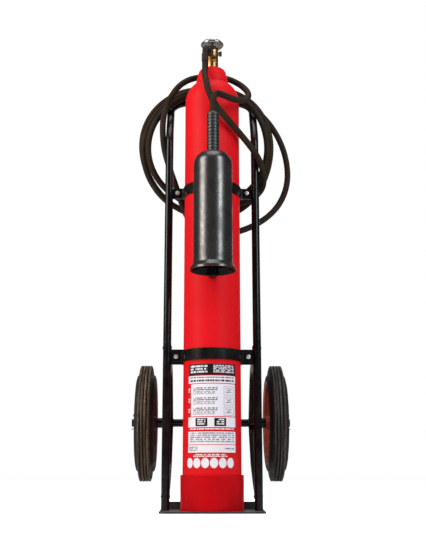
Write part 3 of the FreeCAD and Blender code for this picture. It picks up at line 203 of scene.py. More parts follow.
def grain_group():
    """Build the shallow unevenness of a painted, cast or moulded skin, as a normal."""
    group = bpy.data.node_groups.new("skin_grain", "ShaderNodeTree")
    for name, usual in (("Grain Size", 500.0), ("Grain Depth", 0.1), ("Wave Size", 20.0),
                        ("Wave Depth", 0.05)):
        socket = group.interface.new_socket(name, in_out="INPUT", socket_type="NodeSocketFloat")
        socket.default_value = usual
    group.interface.new_socket("Normal", in_out="OUTPUT", socket_type="NodeSocketVector")
    given = group.nodes.new("NodeGroupInput")
    result = group.nodes.new("NodeGroupOutput")
    place = add(group, "TexCoord").outputs["Object"]
    waves = add(group, "TexNoise", {"Vector": place, "Scale": given.outputs["Wave Size"],
                                    "Detail": 1.0})
    waved = add(group, "Bump", {"Height": waves.outputs["Fac"], "Distance": 0.02,
                                "Strength": given.outputs["Wave Depth"]})
    grains = add(group, "TexNoise", {"Vector": place, "Scale": given.outputs["Grain Size"],
                                     "Detail": 2.0})
    grained = add(group, "Bump", {"Height": grains.outputs["Fac"], "Distance": 0.001,
                                  "Strength": given.outputs["Grain Depth"],
                                  "Normal": waved.outputs[0]})
    group.links.new(grained.outputs[0], result.inputs["Normal"])
    return group


handling_marks = marks_group()
skin_grain = grain_group()
scratch_gain, scratch_lift, dust_rough = 2.2, 0.04, (0.8, 0.8, 0.8, 1)


def finish(name, colour, worn, rough, gloss=0.0, metal=0.0, cloud=20.0, scratch=120.0,
           scratch_share=0.5, dust=0.25, dust_colour=(0.30, 0.27, 0.24, 1), grain=500.0,
           grain_depth=0.1, wave=20.0, wave_depth=0.02, shine=0.5):
    """Make a surface whose colour and roughness drift with smudges, scratches and dust."""
    skin = bpy.data.materials.new(name)
    skin.use_nodes = True
    tree = skin.node_tree
    shader = tree.nodes["Principled BSDF"]
    marks = tree.nodes.new("ShaderNodeGroup")
    marks.node_tree = handling_marks
    marks.inputs["Cloud Size"].default_value = cloud
    marks.inputs["Scratch Size"].default_value = scratch
    marks.inputs["Scratch Share"].default_value = scratch_share
    drift = add(tree, "MixRGB", {"Fac": marks.outputs["Cloud"], "Color1": colour, "Color2": worn})
    bared = [min(1, scratch_gain * part + scratch_lift) for part in worn[:3]]
    rubbed = add(tree, "MixRGB", {"Fac": marks.outputs["Scratch"], "Color1": drift.outputs[0],
                                  "Color2": (*bared, 1)})
    settled = add(tree, "Math", {0: marks.outputs["Dust"], 1: dust}, operation="MULTIPLY")
    dusty = add(tree, "MixRGB", {"Fac": settled.outputs[0], "Color1": rubbed.outputs[0],
                                 "Color2": dust_colour})
    tree.links.new(dusty.outputs[0], shader.inputs["Base Color"])
    smooth = add(tree, "MapRange", {"Value": marks.outputs["Cloud"], "To Min": rough[0],
                                    "To Max": rough[1]})
    dulled = add(tree, "MixRGB", {"Fac": settled.outputs[0], "Color1": smooth.outputs[0],
                                  "Color2": dust_rough})
    tree.links.new(dulled.outputs[0], shader.inputs["Roughness"])
    skin_normal = tree.nodes.new("ShaderNodeGroup")
    skin_normal.node_tree = skin_grain
    skin_normal.inputs["Grain Size"].default_value = grain
    skin_normal.inputs["Grain Depth"].default_value = grain_depth
    skin_normal.inputs["Wave Size"].default_value = wave
    skin_normal.inputs["Wave Depth"].default_value = wave_depth
    tree.links.new(skin_normal.outputs["Normal"], shader.inputs["Normal"])
    shader.inputs["Metallic"].default_value = metal
    shader.inputs["Coat Weight"].default_value = gloss
    shader.inputs["Coat Roughness"].default_value = 0.08
    shader.inputs["Specular IOR Level"].default_value = shine
    return skin


def dress(skin, *names):
    """Give carried-over parts their finish."""
    for name in names:
        mesh = nodes[name].data
        mesh.materials.clear()
        mesh.materials.append(skin)


# Its upward face is blended halfway towards a pale grey-brown all over.
plate_paint = finish("plate_paint_pale_top", seen(26, 26, 27), seen(48, 47, 46), (0.35, 0.6),
                     cloud=45, scratch=160, scratch_share=0.8, dust=0.5, grain=900, grain_depth=0.3)
dress(plate_paint, "base_plate")


# Frame: 20 mm steel tube. Two legs stand on the plate, the bent handle joins their tops and
# leans back, and a bowed strut behind each leg holds the axle. All is brushed in gloss black.
tube_paint = finish("gloss_tube_paint", seen(6, 6, 7), seen(15, 14, 13), (0.14, 0.28), gloss=0.12,
                    cloud=30, scratch=140, scratch_share=0.15, dust=0.06, grain=350,
                    grain_depth=0.1, wave=55, wave_depth=0.03, shine=0.2)
dress(tube_paint, "left_leg", "right_leg", "handle_arch", "left_strut", "right_strut", "axle",
      "inner_spacers")


def edit_last(name):
    """Name the primitive that was just added, and open it for editing with all selected."""
    piece = bpy.context.object
    piece.name = piece.data.name = name
    bpy.ops.object.mode_set(mode="EDIT")
    bpy.ops.mesh.select_all(action="SELECT")
    return piece


def choose(piece, kind, wanted):
    """Select the vertices, edges or faces that wanted() says yes to, and nothing else."""
    bpy.ops.mesh.select_all(action="DESELECT")
    bpy.ops.mesh.select_mode(type={"vertices": "VERT", "edges": "EDGE", "polygons": "FACE"}[kind])
    bpy.ops.object.mode_set(mode="OBJECT")
    for part in getattr(piece.data, kind):
        part.select = wanted(part)
    bpy.ops.object.mode_set(mode="EDIT")


def roughen(piece, size, height):
    """Make a surface uneven, and keep that in its mesh."""
    lumps = bpy.data.textures.new(piece.name + "_lumps", "CLOUDS")
    lumps.noise_scale = size
    lumps.noise_depth = 2
    uneven = piece.modifiers.new("uneven", "DISPLACE")
    uneven.texture = lumps
    uneven.texture_coords = "LOCAL"
    uneven.strength = height
    uneven.mid_level = 0.5
    bpy.context.view_layer.objects.active = piece
    bpy.ops.object.modifier_apply(modifier="uneven")


def settle_in_place(piece):
    """Move a piece's place into its mesh, so that its object sits at the origin."""
    bpy.ops.object.mode_set(mode="OBJECT")
    deselect()
    piece.select_set(True)
    bpy.context.view_layer.objects.active = piece
    bpy.ops.object.transform_apply(location=True, rotation=True, scale=True)


def join_pieces(name, pieces):
    """Join like pieces into one."""
    deselect()
    for piece in pieces:
        piece.select_set(True)
    bpy.context.view_layer.objects.active = pieces[0]
    bpy.ops.object.join()
    whole = bpy.context.object
    whole.name = whole.data.name = name
    return whole


def smooth_sides(piece, angle=35):
    """Shade a piece smooth, except over sharp corners."""
    deselect()
    piece.select_set(True)
    bpy.context.view_layer.objects.active = piece
    bpy.ops.object.shade_smooth_by_angle(angle=math.radians(angle))


# Welds: an uneven bead of weld metal, painted over, round the foot of each leg, round both ends
# of each strut, on both sides of each strut at the axle, and up both sides of each clamp's lug.
leg_aside, tube_radius, bead_radius = 0.110, 0.010, 0.0015
bead_steps, bead_ripple = 40, 0.0004
plate_top, axle_back, axle_height = 0.0045, 0.206, 0.217
strut_back, strut_joints = 0.0105, ((0.3887, 0.954, -0.300), (0.0356, 0.883, 0.470))
lug_aside, lug_faces, lug_welds = 0.1004, (0.0035, -0.0005), ((0.3645, 0.034), (0.7825, 0.024))


def round_bead(place, heading, radius):
    """Lay a bead round a tube."""
    deselect()
    bpy.ops.mesh.primitive_torus_add(major_segments=bead_steps, minor_segments=8,
                                     major_radius=radius, minor_radius=bead_radius)
    bead = edit_last("round_bead")
    choose(bead, "vertices", lambda corner: int(
        math.degrees(math.atan2(corner.co.y, corner.co.x)) // (360 // bead_steps)) % 2 == 0)
    bpy.ops.transform.shrink_fatten(value=bead_ripple)
    bpy.ops.object.mode_set(mode="OBJECT")
    bead.location = place
    bead.rotation_euler = Vector(heading).to_track_quat("Z", "Y").to_euler()
    settle_in_place(bead)
    return bead


def straight_bead(place, length):
    """Lay a bead straight up a corner."""
    deselect()
    bpy.ops.mesh.primitive_uv_sphere_add(segments=12, ring_count=16, radius=bead_radius)
    bead = edit_last("straight_bead")
    for end in (-1, 1):
        choose(bead, "vertices", lambda corner: corner.co.z * end > 0.0001)
        bpy.ops.transform.translate(value=(0, 0, end * (length / 2 - bead_radius)))
    for level in (length / 6, -length / 6):
        bpy.ops.mesh.select_all(action="SELECT")
        bpy.ops.mesh.bisect(plane_co=(0, 0, level), plane_no=(0, 0, 1))
    bpy.ops.object.mode_set(mode="OBJECT")
    bead.location = place
    settle_in_place(bead)
    return bead


beads = []
for side in (-1, 1):
    leg = side * leg_aside
    beads.append(round_bead((leg, 0, plate_top), (0, 0, 1), tube_radius))
    for level, backward, upward in strut_joints:
        beads.append(round_bead((leg, strut_back, level), (0, backward, upward), tube_radius))
    for face in (-1, 1):
        beads.append(round_bead((leg + face * tube_radius, axle_back, axle_height), (1, 0, 0),
                                tube_radius))
    for level, lug_height in lug_welds:
        for face in lug_faces:
            beads.append(straight_bead((side * lug_aside, face, level), lug_height))
frame_welds = join_pieces("frame_welds", beads)
roughen(frame_welds, 0.003, 0.0005)
smooth_sides(frame_welds, 60)
frame_welds.data.materials.append(tube_paint)
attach(frame_welds, "trolley")


# Wheels: a solid rubber tyre with four worn ribs, moulded on a pressed steel rim that turns on
# the axle in a plain nylon bush. Washers and a split pin keep it on.
wheel_aside, corner_steps = 0.170, 4


def lathe(name, outline, steps, centre, axis):
    """Spin a closed half section round an axis. Its points are (along the axis, out from it)."""
    along = Vector(axis)
    out = Vector((0, 0, 1)) if abs(along.z) < 0.5 else Vector((0, -1, 0))
    spots = [along * forward + out * radius for forward, radius in outline]
    deselect()
    bpy.ops.mesh.primitive_plane_add(size=0.001, location=centre)
    piece = edit_last(name)
    bpy.ops.mesh.merge(type="CENTER")
    bpy.ops.transform.translate(value=spots[0])
    for before, after in zip(spots, spots[1:]):
        bpy.ops.mesh.extrude_vertices_move(TRANSFORM_OT_translate={"value": after - before})
    choose(piece, "vertices", lambda corner: (corner.co - spots[0]).length < 1e-7
           or (corner.co - spots[-1]).length < 1e-7)
    bpy.ops.mesh.edge_face_add()
    bpy.ops.mesh.select_all(action="SELECT")
    bpy.ops.mesh.spin(steps=steps, angle=2 * math.pi, center=centre, axis=axis)
    bpy.ops.mesh.select_all(action="SELECT")
    bpy.ops.mesh.remove_doubles(threshold=0.00001)
    bpy.ops.mesh.normals_make_consistent(inside=False)
    settle_in_place(piece)
    return piece


def rounded_section(corners):
    """Replace each corner that carries a radius by points on its arc."""
    rounded = []
    for number, corner in enumerate(corners):
        spot = Vector(corner[:2])
        if len(corner) == 2:
            rounded.append(spot)
            continue
        before = (Vector(corners[number - 1][:2]) - spot).normalized()
        after = (Vector(corners[(number + 1) % len(corners)][:2]) - spot).normalized()
        half = before.angle(after) / 2
        reach = corner[2] / math.tan(half)
        middle = spot + (before + after).normalized() * corner[2] / math.sin(half)
        start, end = spot + before * reach - middle, spot + after * reach - middle
        for step in range(corner_steps + 1):
            rounded.append(middle + start.lerp(end, step / corner_steps).normalized() * corner[2])
    return rounded


tyre_radius, rim_radius, half_tyre, half_rim = 0.1496, 0.106, 0.0249, 0.0221
half_crown, rib_pitch, groove_half, groove_depth = 0.0145, 0.0080, 0.0013, 0.0048
floor_share, rib_round, floor_round = 0.6, 0.0006, 0.0003
rib_worn, rib_whole, side_edge = 0.0006, 0.0028, 0.001
tread = []
for groove in (-1, 0, 1):
    middle = groove * rib_pitch
    tread += [(middle - groove_half, tyre_radius, rib_round),
              (middle - floor_share * groove_half, tyre_radius - groove_depth, floor_round),
              (middle + floor_share * groove_half, tyre_radius - groove_depth, floor_round),
              (middle + groove_half, tyre_radius, rib_round)]
shoulder = [(half_crown - 0.0008, tyre_radius, 0.0009), (half_crown + 0.0012, 0.1440, 0.0012),
            (half_crown + 0.0022, 0.1262, 0.002), (half_tyre - 0.0022, 0.1232, 0.003),
            (half_tyre, 0.1156, 0.003), (half_rim + 0.0016, 0.1106), (half_rim, 0.1101),
            (half_rim, rim_radius + 0.0001)]
mirrored_shoulder = [(-corner[0], *corner[1:]) for corner in reversed(shoulder)]
tyre_section = rounded_section(mirrored_shoulder + tread + shoulder)


def tyre_rubber(name, centre, fresh, stained, scuffed):
    """Make rubber that is scuffed pale along its ribs and stays dark in grooves and sides."""
    rubber = finish(name, fresh, stained, (0.55, 0.85), cloud=38, scratch=220, scratch_share=0.5,
                    dust=0.15, grain=260, grain_depth=0.7, wave=60, wave_depth=0.06, shine=0.3)
    tree = rubber.node_tree
    shader = tree.nodes["Principled BSDF"]
    worn_colour = shader.inputs["Base Color"].links[0].from_socket
    centred = add(tree, "Mapping", {"Vector": add(tree, "TexCoord").outputs["Object"],
                                    "Location": tuple(-part for part in centre)})
    apart = add(tree, "SeparateXYZ", {0: centred.outputs[0]})
    flat = add(tree, "CombineXYZ", {"Y": apart.outputs["Y"], "Z": apart.outputs["Z"]})
    outward = add(tree, "VectorMath", {0: flat.outputs[0]}, operation="LENGTH")
    deep = add(tree, "MapRange", {"Value": outward.outputs["Value"],
                                  "From Min": tyre_radius - rib_whole,
                                  "From Max": tyre_radius - rib_worn})
    aside = add(tree, "Math", {0: apart.outputs["X"]}, operation="ABSOLUTE")
    sidewall = add(tree, "MapRange", {"Value": aside.outputs[0], "From Min": half_crown - side_edge,
                                      "From Max": half_crown + side_edge, "To Max": 0.7})
    bands = add(tree, "Mapping", {"Vector": centred.outputs[0], "Scale": (640, 7, 7)})
    streaks = add(tree, "TexNoise", {"Vector": bands.outputs[0], "Scale": 1.0, "Detail": 3.0})
    streaky = add(tree, "MapRange", {"Value": streaks.outputs["Fac"], "From Min": 0.49,
                                     "From Max": 0.62})
    pits = add(tree, "TexNoise", {"Vector": centred.outputs[0], "Scale": 300.0, "Detail": 4.0,
                                  "Roughness": 0.7})
    pitted = add(tree, "MapRange", {"Value": pits.outputs["Fac"], "From Min": 0.40,
                                    "From Max": 0.52})
    rubbed = add(tree, "Math", {0: streaky.outputs[0], 1: deep.outputs[0]}, operation="MULTIPLY")
    rubbed = add(tree, "Math", {0: rubbed.outputs[0], 1: pitted.outputs[0]}, operation="MULTIPLY")
    ribbed = add(tree, "MixRGB", {"Fac": rubbed.outputs[0], "Color1": worn_colour,
                                  "Color2": scuffed})
    shade = add(tree, "MixRGB", {"Fac": sidewall.outputs[0], "Color1": ribbed.outputs[0],
                                 "Color2": seen(17, 14, 13)})
    tree.links.new(shade.outputs[0], shader.inputs["Base Color"])
    return rubber


rim_colours = {"left": (seen(112, 30, 24), seen(74, 26, 22)),
               "right": (seen(168, 70, 42), seen(120, 46, 30))}
tread_colours = {"left": (seen(26, 20, 15), seen(54, 44, 34), seen(142, 119, 90)),
                 "right": (seen(20, 17, 15), seen(42, 38, 35), seen(104, 96, 88))}
for side, word in ((-1, "left"), (1, "right")):
    centre = (side * wheel_aside, axle_back, axle_height)
    tyre = lathe(word + "_tyre_worn", tyre_section, 160, centre, (1, 0, 0))
    roughen(tyre, 0.012, 0.0007)
    roughen(tyre, 0.0025, 0.0004)
    smooth_sides(tyre, 40)
    tyre.data.materials.append(tyre_rubber(word + "_tyre_rubber", centre, *tread_colours[word]))
    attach(tyre, word + "_wheel")
    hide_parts(word + "_tyre")
    clean, stained = rim_colours[word]
    dress(finish(word + "_rim_paint", clean, stained, (0.45, 0.75), cloud=55, scratch=90,
                 scratch_share=0.6, dust=0.6, grain=400, grain_depth=0.3), word + "_rim")
bush_nylon = finish("bush_nylon", seen(212, 206, 190), seen(170, 160, 140), (0.4, 0.6), cloud=80)
dress(bush_nylon, "left_bush", "right_bush", "seat_disc")
zinc_plate = finish("zinc_plate", seen(232, 222, 220), seen(190, 178, 174), (0.3, 0.5), metal=1,
                    cloud=140, scratch=400, scratch_share=0.2, dust=0.1, grain=1200,
                    grain_depth=0.15)
dress(zinc_plate, "outer_washers", "split_pins", "handwheel_nut", "hook_screws")


# Cylinder: a seamless steel bottle in bright red enamel, with a pressed collar of the same red
# over its neck. The steel boot that is shrunk round its foot is sprayed a deeper red.
bottle_enamel = finish("bottle_red_enamel", seen(210, 19, 27), seen(202, 15, 23), (0.42, 0.52),
                       cloud=7, scratch=60, scratch_share=0.08, dust=0.04, grain=420,
                       grain_depth=0.05, wave=11, wave_depth=0.04, shine=0.08)
dress(bottle_enamel, "cylinder_shell", "neck_collar")
boot_enamel = finish("boot_red_enamel", seen(182, 3, 14), seen(170, 2, 12), (0.4, 0.5),
                     cloud=12, scratch=60, scratch_share=0.1, dust=0.03, grain=420,
                     grain_depth=0.06, wave=26, wave_depth=0.03, shine=0.06)
dress(boot_enamel, "foot_boot")
drawn_steel = finish("drawn_steel", seen(190, 188, 185), seen(150, 146, 142), (0.25, 0.45), metal=1,
                     cloud=90, scratch=300)
dress(drawn_steel, "dip_tube", "burst_disc", "spindle", "horn_ferrule")


# Label: a printed film on the front of the bottle, over its boot. Its fields are left as plain
# blocks: a dark heading, pale panels ruled for text, one with three marks at its left and three
# small frames at its right, two dark squares, and a row of six inspection discs.
def block_group():
    """Build one printed block, as a mask between two levels and two sides."""
    group = bpy.data.node_groups.new("printed_block", "ShaderNodeTree")
    for name in ("Across", "Up", "Left", "Right", "Foot", "Head"):
        group.interface.new_socket(name, in_out="INPUT", socket_type="NodeSocketFloat")
    group.interface.new_socket("Mask", in_out="OUTPUT", socket_type="NodeSocketFloat")
    given = group.nodes.new("NodeGroupInput")
    result = group.nodes.new("NodeGroupOutput")
    tests = [add(group, "Math", {0: given.outputs[high], 1: given.outputs[low]},
                 operation="GREATER_THAN").outputs[0]
             for high, low in (("Across", "Left"), ("Right", "Across"), ("Up", "Foot"),
                               ("Head", "Up"))]
    mask = tests[0]
    for test in tests[1:]:
        mask = add(group, "Math", {0: mask, 1: test}, operation="MULTIPLY").outputs[0]
    group.links.new(mask, result.inputs["Mask"])
    return group


row_gap = 0.35


def rows_group():
    """Build rows of broken dashes, such as small print shows from afar, as a mask."""
    group = bpy.data.node_groups.new("printed_rows", "ShaderNodeTree")
    for name in ("Across", "Up", "Foot", "Pitch"):
        group.interface.new_socket(name, in_out="INPUT", socket_type="NodeSocketFloat")
    group.interface.new_socket("Mask", in_out="OUTPUT", socket_type="NodeSocketFloat")
    given = group.nodes.new("NodeGroupInput")
    result = group.nodes.new("NodeGroupOutput")
    raised = add(group, "Math", {0: given.outputs["Up"], 1: given.outputs["Foot"]},
                 operation="SUBTRACT")
    counted = add(group, "Math", {0: raised.outputs[0], 1: given.outputs["Pitch"]},
                  operation="DIVIDE")
    row = add(group, "Math", {0: counted.outputs[0]}, operation="FLOOR")
    within = add(group, "Math", {0: counted.outputs[0]}, operation="FRACT")
    inked = add(group, "Math", {0: within.outputs[0], 1: row_gap}, operation="GREATER_THAN")
    spot = add(group, "CombineXYZ", {"X": given.outputs["Across"], "Y": row.outputs[0]})
    spaced = add(group, "Mapping", {"Vector": spot.outputs[0], "Scale": (330, 5.7, 1)})
    words = add(group, "TexNoise", {"Vector": spaced.outputs[0], "Scale": 1.0, "Detail": 1.0})
    broken = add(group, "MapRange", {"Value": words.outputs["Fac"], "From Min": 0.40,
                                     "From Max": 0.50})
    mask = add(group, "Math", {0: inked.outputs[0], 1: broken.outputs[0]}, operation="MULTIPLY")
    group.links.new(mask.outputs[0], result.inputs["Mask"])
    return group


printed_block = block_group()
printed_rows = rows_group()
label_film = finish("label_film", seen(200, 14, 25), seen(192, 12, 23), (0.36, 0.46), cloud=10,
                    scratch_share=0.1, dust=0.03, grain_depth=0.03, wave_depth=0.01, shine=0.2)
film = label_film.node_tree
film_shader = film.nodes["Principled BSDF"]
print_colour = film_shader.inputs["Base Color"].links[0].from_socket
label_radius, print_shift = 0.0704, 0.002
film_place = add(film, "SeparateXYZ", {0: add(film, "TexCoord").outputs["Object"]})
forward = add(film, "Math", {0: film_place.outputs["Y"], 1: -1.0}, operation="MULTIPLY")
angle = add(film, "Math", {0: film_place.outputs["X"], 1: forward.outputs[0]}, operation="ARCTAN2")
round_bottle = add(film, "Math", {0: angle.outputs[0], 1: label_radius, 2: print_shift},
                   operation="MULTIPLY_ADD")
film_across, film_up = round_bottle.outputs[0], film_place.outputs["Z"]
black_ink, white_ink = seen(20, 18, 20), seen(218, 213, 220)
grey_ink, dark_ink = seen(128, 122, 132), seen(70, 64, 72)


def print_shape(mask, ink):
    """Lay one colour of ink over what is printed so far."""
    global print_colour
    laid = add(film, "MixRGB", {"Fac": mask, "Color1": print_colour, "Color2": ink})
    print_colour = laid.outputs[0]


def print_block(left, right, foot, head, ink, pitch=None):
    """Print a plain block, or one of rows of dashes. The sizes are in millimetres."""
    block = film.nodes.new("ShaderNodeGroup")
    block.node_tree = printed_block
    film.links.new(film_across, block.inputs["Across"])
    film.links.new(film_up, block.inputs["Up"])
    for name, edge in (("Left", left), ("Right", right), ("Foot", foot), ("Head", head)):
        block.inputs[name].default_value = edge / 1000
    mask = block.outputs["Mask"]
    if pitch:
        rows = film.nodes.new("ShaderNodeGroup")
        rows.node_tree = printed_rows
        film.links.new(film_across, rows.inputs["Across"])
        film.links.new(film_up, rows.inputs["Up"])
        rows.inputs["Foot"].default_value = foot / 1000
        rows.inputs["Pitch"].default_value = pitch / 1000
        ruled = add(film, "Math", {0: mask, 1: rows.outputs["Mask"]}, operation="MULTIPLY")
        mask = ruled.outputs[0]
    print_shape(mask, ink)


for block in ((-61, 63, 314, 340, black_ink), (-63, 63, 295, 312, white_ink),
              (-54, 62, 218, 293, white_ink), (-63, 63, 193, 216, white_ink),
              (-40, -10, 195, 214, black_ink), (6, 35, 195, 214, black_ink),
              (-63, 63, 154, 183, white_ink), (-63, 63, 135.5, 152.5, white_ink)):
    print_block(*block)
for block in ((-56, -10, 317, 337, white_ink, 6.6), (4, 58, 318, 337, white_ink, 3.8),
              (-60, 60, 305, 309.5, dark_ink, 5), (-58, 60, 296, 303, black_ink, 7),
              (-58, 58, 186, 190.5, white_ink, 4.5), (-56, 58, 157, 181, grey_ink, 4.8),
              (-60, -34, 138, 150, grey_ink, 3.6), (30, 58, 141, 146, grey_ink, 5),
              (-46, 38, 124.5, 132, white_ink, 3.8), (-35, -15, 197, 212, white_ink, 5),
              (12, 30, 197, 212, white_ink, 5)):
    print_block(*block)
panel_head, panel_pitch = 285, 23.5
for step in range(3):
    head = panel_head - panel_pitch * step
    print_block(-48, 14, head - 8.4, head, dark_ink, 4.2)
    print_block(-48, 8, head - 17, head - 9, grey_ink, 2.7)
    print_block(-63, -57, head - 13, head - 2, white_ink, 5.5)
    print_block(29, 57, head - 18, head + 2, grey_ink)
    print_block(30, 56, head - 17, head + 1, white_ink)
    print_block(34, 52, head - 14, head - 2, grey_ink, 4)
disc_width, disc_height, disc_level = 0.0095, 0.0115, 0.112
disc_start, disc_pitch = -0.057, 0.0208
for number in range(6):
    middle = disc_start + disc_pitch * number
    aside = add(film, "Math", {0: film_across, 1: middle}, operation="SUBTRACT")
    raised = add(film, "Math", {0: film_up, 1: disc_level}, operation="SUBTRACT")
    flattened = add(film, "Math", {0: raised.outputs[0], 1: disc_width / disc_height},
                    operation="MULTIPLY")
    spot = add(film, "CombineXYZ", {"X": aside.outputs[0], "Z": flattened.outputs[0]})
    away = add(film, "VectorMath", {0: spot.outputs[0]}, operation="LENGTH")
    disc = add(film, "Math", {0: away.outputs["Value"], 1: disc_width}, operation="LESS_THAN")
    print_shape(disc.outputs[0], white_ink)
film.links.new(print_colour, film_shader.inputs["Base Color"])
dress(label_film, "label")


# Clamps: at two levels a steel saddle, welded to the legs, holds the bottle from behind, and a
# band is bolted to it round the front. Both are black, and the four bolts are zinc plated.
strap_paint = finish("strap_paint", seen(10, 10, 11), seen(22, 21, 20), (0.24, 0.38), gloss=0.1,
                     cloud=50, scratch=150, scratch_share=0.35, dust=0.12, grain=600,
                     grain_depth=0.15, shine=0.12)
dress(strap_paint, "upper_saddle", "lower_saddle", "upper_band", "lower_band", "band_washers",
      "horn_hook")
bolt_aside, bolt_levels = 0.088, (0.3645, 0.7825)
bolt_radius, head_radius, head_height, nut_height = 0.003, 0.0057, 0.0045, 0.0055
head_front, shank_end, nut_front = -0.0091, 0.0125, 0.0030
head_chamfer, nut_chamfer, tip_chamfer, tip_drop = 0.0012, 0.001, 0.0008, 0.0006


def hexagonal(name, front, depth, radius, chamfer):
    """Cut a chamfered hexagon, with its axis towards the front."""
    deselect()
    bpy.ops.mesh.primitive_cylinder_add(vertices=48, radius=radius, depth=depth,
                                        location=(0, front + depth / 2, 0),
                                        rotation=(math.pi / 2, 0, 0))
    piece = edit_last(name)
    choose(piece, "polygons", lambda face: abs(face.normal.z) > 0.9)
    bpy.ops.mesh.bevel(offset=chamfer, segments=2, affect="EDGES")
    settle_in_place(piece)
    bpy.ops.object.mode_set(mode="EDIT")
    flat_distance = radius * math.cos(math.pi / 6)
    for side in range(6):
        facing = Vector((math.cos(side * math.pi / 3), 0, math.sin(side * math.pi / 3)))
        bpy.ops.mesh.select_all(action="SELECT")
        bpy.ops.mesh.bisect(plane_co=facing * flat_distance, plane_no=facing, clear_outer=True,
                            use_fill=True)
    bpy.ops.object.mode_set(mode="OBJECT")
    return piece


def copy_round(piece, places):
    """Give each place its own copy of a piece made at the axis, and put the first one away."""
    copies = []
    for place in places:
        twin = piece.copy()
        twin.data = piece.data.copy()
        bpy.context.scene.collection.objects.link(twin)
        twin.location = place
        deselect()
        twin.select_set(True)
        bpy.context.view_layer.objects.active = twin
        bpy.ops.object.transform_apply(location=True, rotation=True, scale=True)
        copies.append(twin)
    bpy.data.objects.remove(piece)
    return copies


bolt_places = [(side * bolt_aside, 0, level) for side in (-1, 1) for level in bolt_levels]
head = hexagonal("bolt_head", head_front, head_height, head_radius, head_chamfer)
deselect()
bpy.ops.mesh.primitive_cylinder_add(vertices=32, radius=bolt_radius,
                                    depth=shank_end - head_front - head_height,
                                    location=(0, (shank_end + head_front + head_height) / 2, 0),
                                    rotation=(math.pi / 2, 0, 0))
shank = edit_last("bolt_shank")
choose(shank, "polygons", lambda face: face.normal.z < -0.9)
bpy.ops.mesh.inset(thickness=tip_chamfer, depth=0)
bpy.ops.transform.translate(value=(0, 0, -tip_drop))
settle_in_place(shank)
bolt = join_pieces("bolt", [head, shank])
clamp_bolts = join_pieces("clamp_bolts", copy_round(bolt, bolt_places))
nut = hexagonal("nut", nut_front, nut_height, head_radius, nut_chamfer)
clamp_nuts = join_pieces("clamp_nuts", copy_round(nut, bolt_places))
for piece, node_name in ((clamp_bolts, "band_bolts"), (clamp_nuts, "band_nuts")):
    smooth_sides(piece, 30)
    piece.data.materials.append(zinc_plate)
    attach(piece, "trolley")
    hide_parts(node_name)


# Valve: a forged and machined brass body screwed into the neck, with a bonnet nut on top and a
# safety plug with its burst disc at the front. A blackened screw closes its side.
brass = finish("machined_brass", seen(186, 150, 108), seen(142, 108, 74), (0.2, 0.38), metal=1,
               cloud=110, scratch=420, scratch_share=0.4, dust=0.1, grain=1400, grain_depth=0.2,
               wave=140, wave_depth=0.04)
dress(brass, "valve_body", "horn_nozzle")
plug_brass = finish("plug_brass", seen(206, 156, 74), seen(128, 82, 38), (0.18, 0.4), metal=1,
                    cloud=160, scratch=420, scratch_share=0.3)
dress(plug_brass, "burst_plug")
bonnet_brass = finish("bonnet_brass", seen(126, 104, 92), seen(90, 72, 64), (0.25, 0.4), metal=1,
                      cloud=120, scratch=420, scratch_share=0.4)
dress(bonnet_brass, "bonnet_nut")
blackened = finish("blackened_steel", seen(30, 26, 25), seen(52, 46, 42), (0.3, 0.5), cloud=120,
                   scratch=300, scratch_share=0.6)
dress(blackened, "side_screw", "outlet_nut")
seal_rubber = finish("seal_rubber", seen(26, 26, 26), seen(40, 38, 36), (0.5, 0.7), cloud=150,
                     grain=900, grain_depth=0.3)
dress(seal_rubber, "neck_seal", "gland_packing", "outlet_seal")


# Handwheel: a nickel plated casting with a well rounded rim of six shallow lobes, dished above
# and below. A small nut holds it on the spindle's square.
wheel_foot, wheel_thickness, wheel_radius = 1.1945, 0.011, 0.0298
hub_radius, bore_radius, valley_depth, dish_depth = 0.010, 0.00405, 0.0016, 0.003
lobe_steps, lobe_count, edge_round = 12, 6, 0.0044
hub_lip, hub_foot, hub_neck, hub_rise = 0.002, 0.0015, 0.0075, 0.0012
deselect()
bpy.ops.mesh.primitive_cylinder_add(vertices=lobe_count * lobe_steps, radius=wheel_radius,
                                    depth=wheel_thickness, end_fill_type="NGON",
                                    location=(0, 0, wheel_foot + wheel_thickness / 2))
handwheel = edit_last("lobed_handwheel")
settle_in_place(handwheel)
bpy.ops.object.mode_set(mode="EDIT")
for step in range(1, lobe_steps):
    share = 0.5 - 0.5 * math.cos(2 * math.pi * step / lobe_steps)
    pull = 1 - valley_depth * share ** 1.5 / wheel_radius
    choose(handwheel, "vertices", lambda corner: round(
        math.degrees(math.atan2(corner.co.y, corner.co.x)) * lobe_count * lobe_steps / 360)
        % lobe_steps == step)
    bpy.ops.transform.resize(value=(pull, pull, 1), center_override=(0, 0, 0))
choose(handwheel, "edges", lambda edge: True)
bpy.ops.mesh.bevel(offset=edge_round, segments=5, affect="EDGES")
for up, rim, depth in ((1, 0.0010, 0), (1, 0.0030, -dish_depth), (-1, 0.0010, 0),
                       (-1, 0.0035, -dish_depth)):
    choose(handwheel, "polygons", lambda face: face.normal.z * up > 0.9 and face.area > 0.0003)
    bpy.ops.mesh.inset(thickness=rim, depth=depth)
bpy.ops.object.mode_set(mode="OBJECT")
hub_top = wheel_foot + wheel_thickness - dish_depth + hub_rise
hub = lathe("handwheel_hub", [(wheel_foot - hub_foot, bore_radius),
                              (wheel_foot - hub_foot, hub_radius),
                              (wheel_foot + hub_lip, hub_radius),
                              (hub_top, hub_neck), (hub_top, bore_radius)],
            48, (0, 0, 0), (0, 0, 1))
handwheel = join_pieces("lobed_handwheel", [handwheel, hub])
smooth_sides(handwheel, 50)
nickel = finish("nickel_plate", seen(190, 186, 182), seen(140, 136, 132), (0.2, 0.34), metal=1,
                cloud=100, scratch=380, scratch_share=0.2, dust=0.05, grain=1000, grain_depth=0.05,
                wave=60, wave_depth=0.03)
handwheel.data.materials.append(nickel)
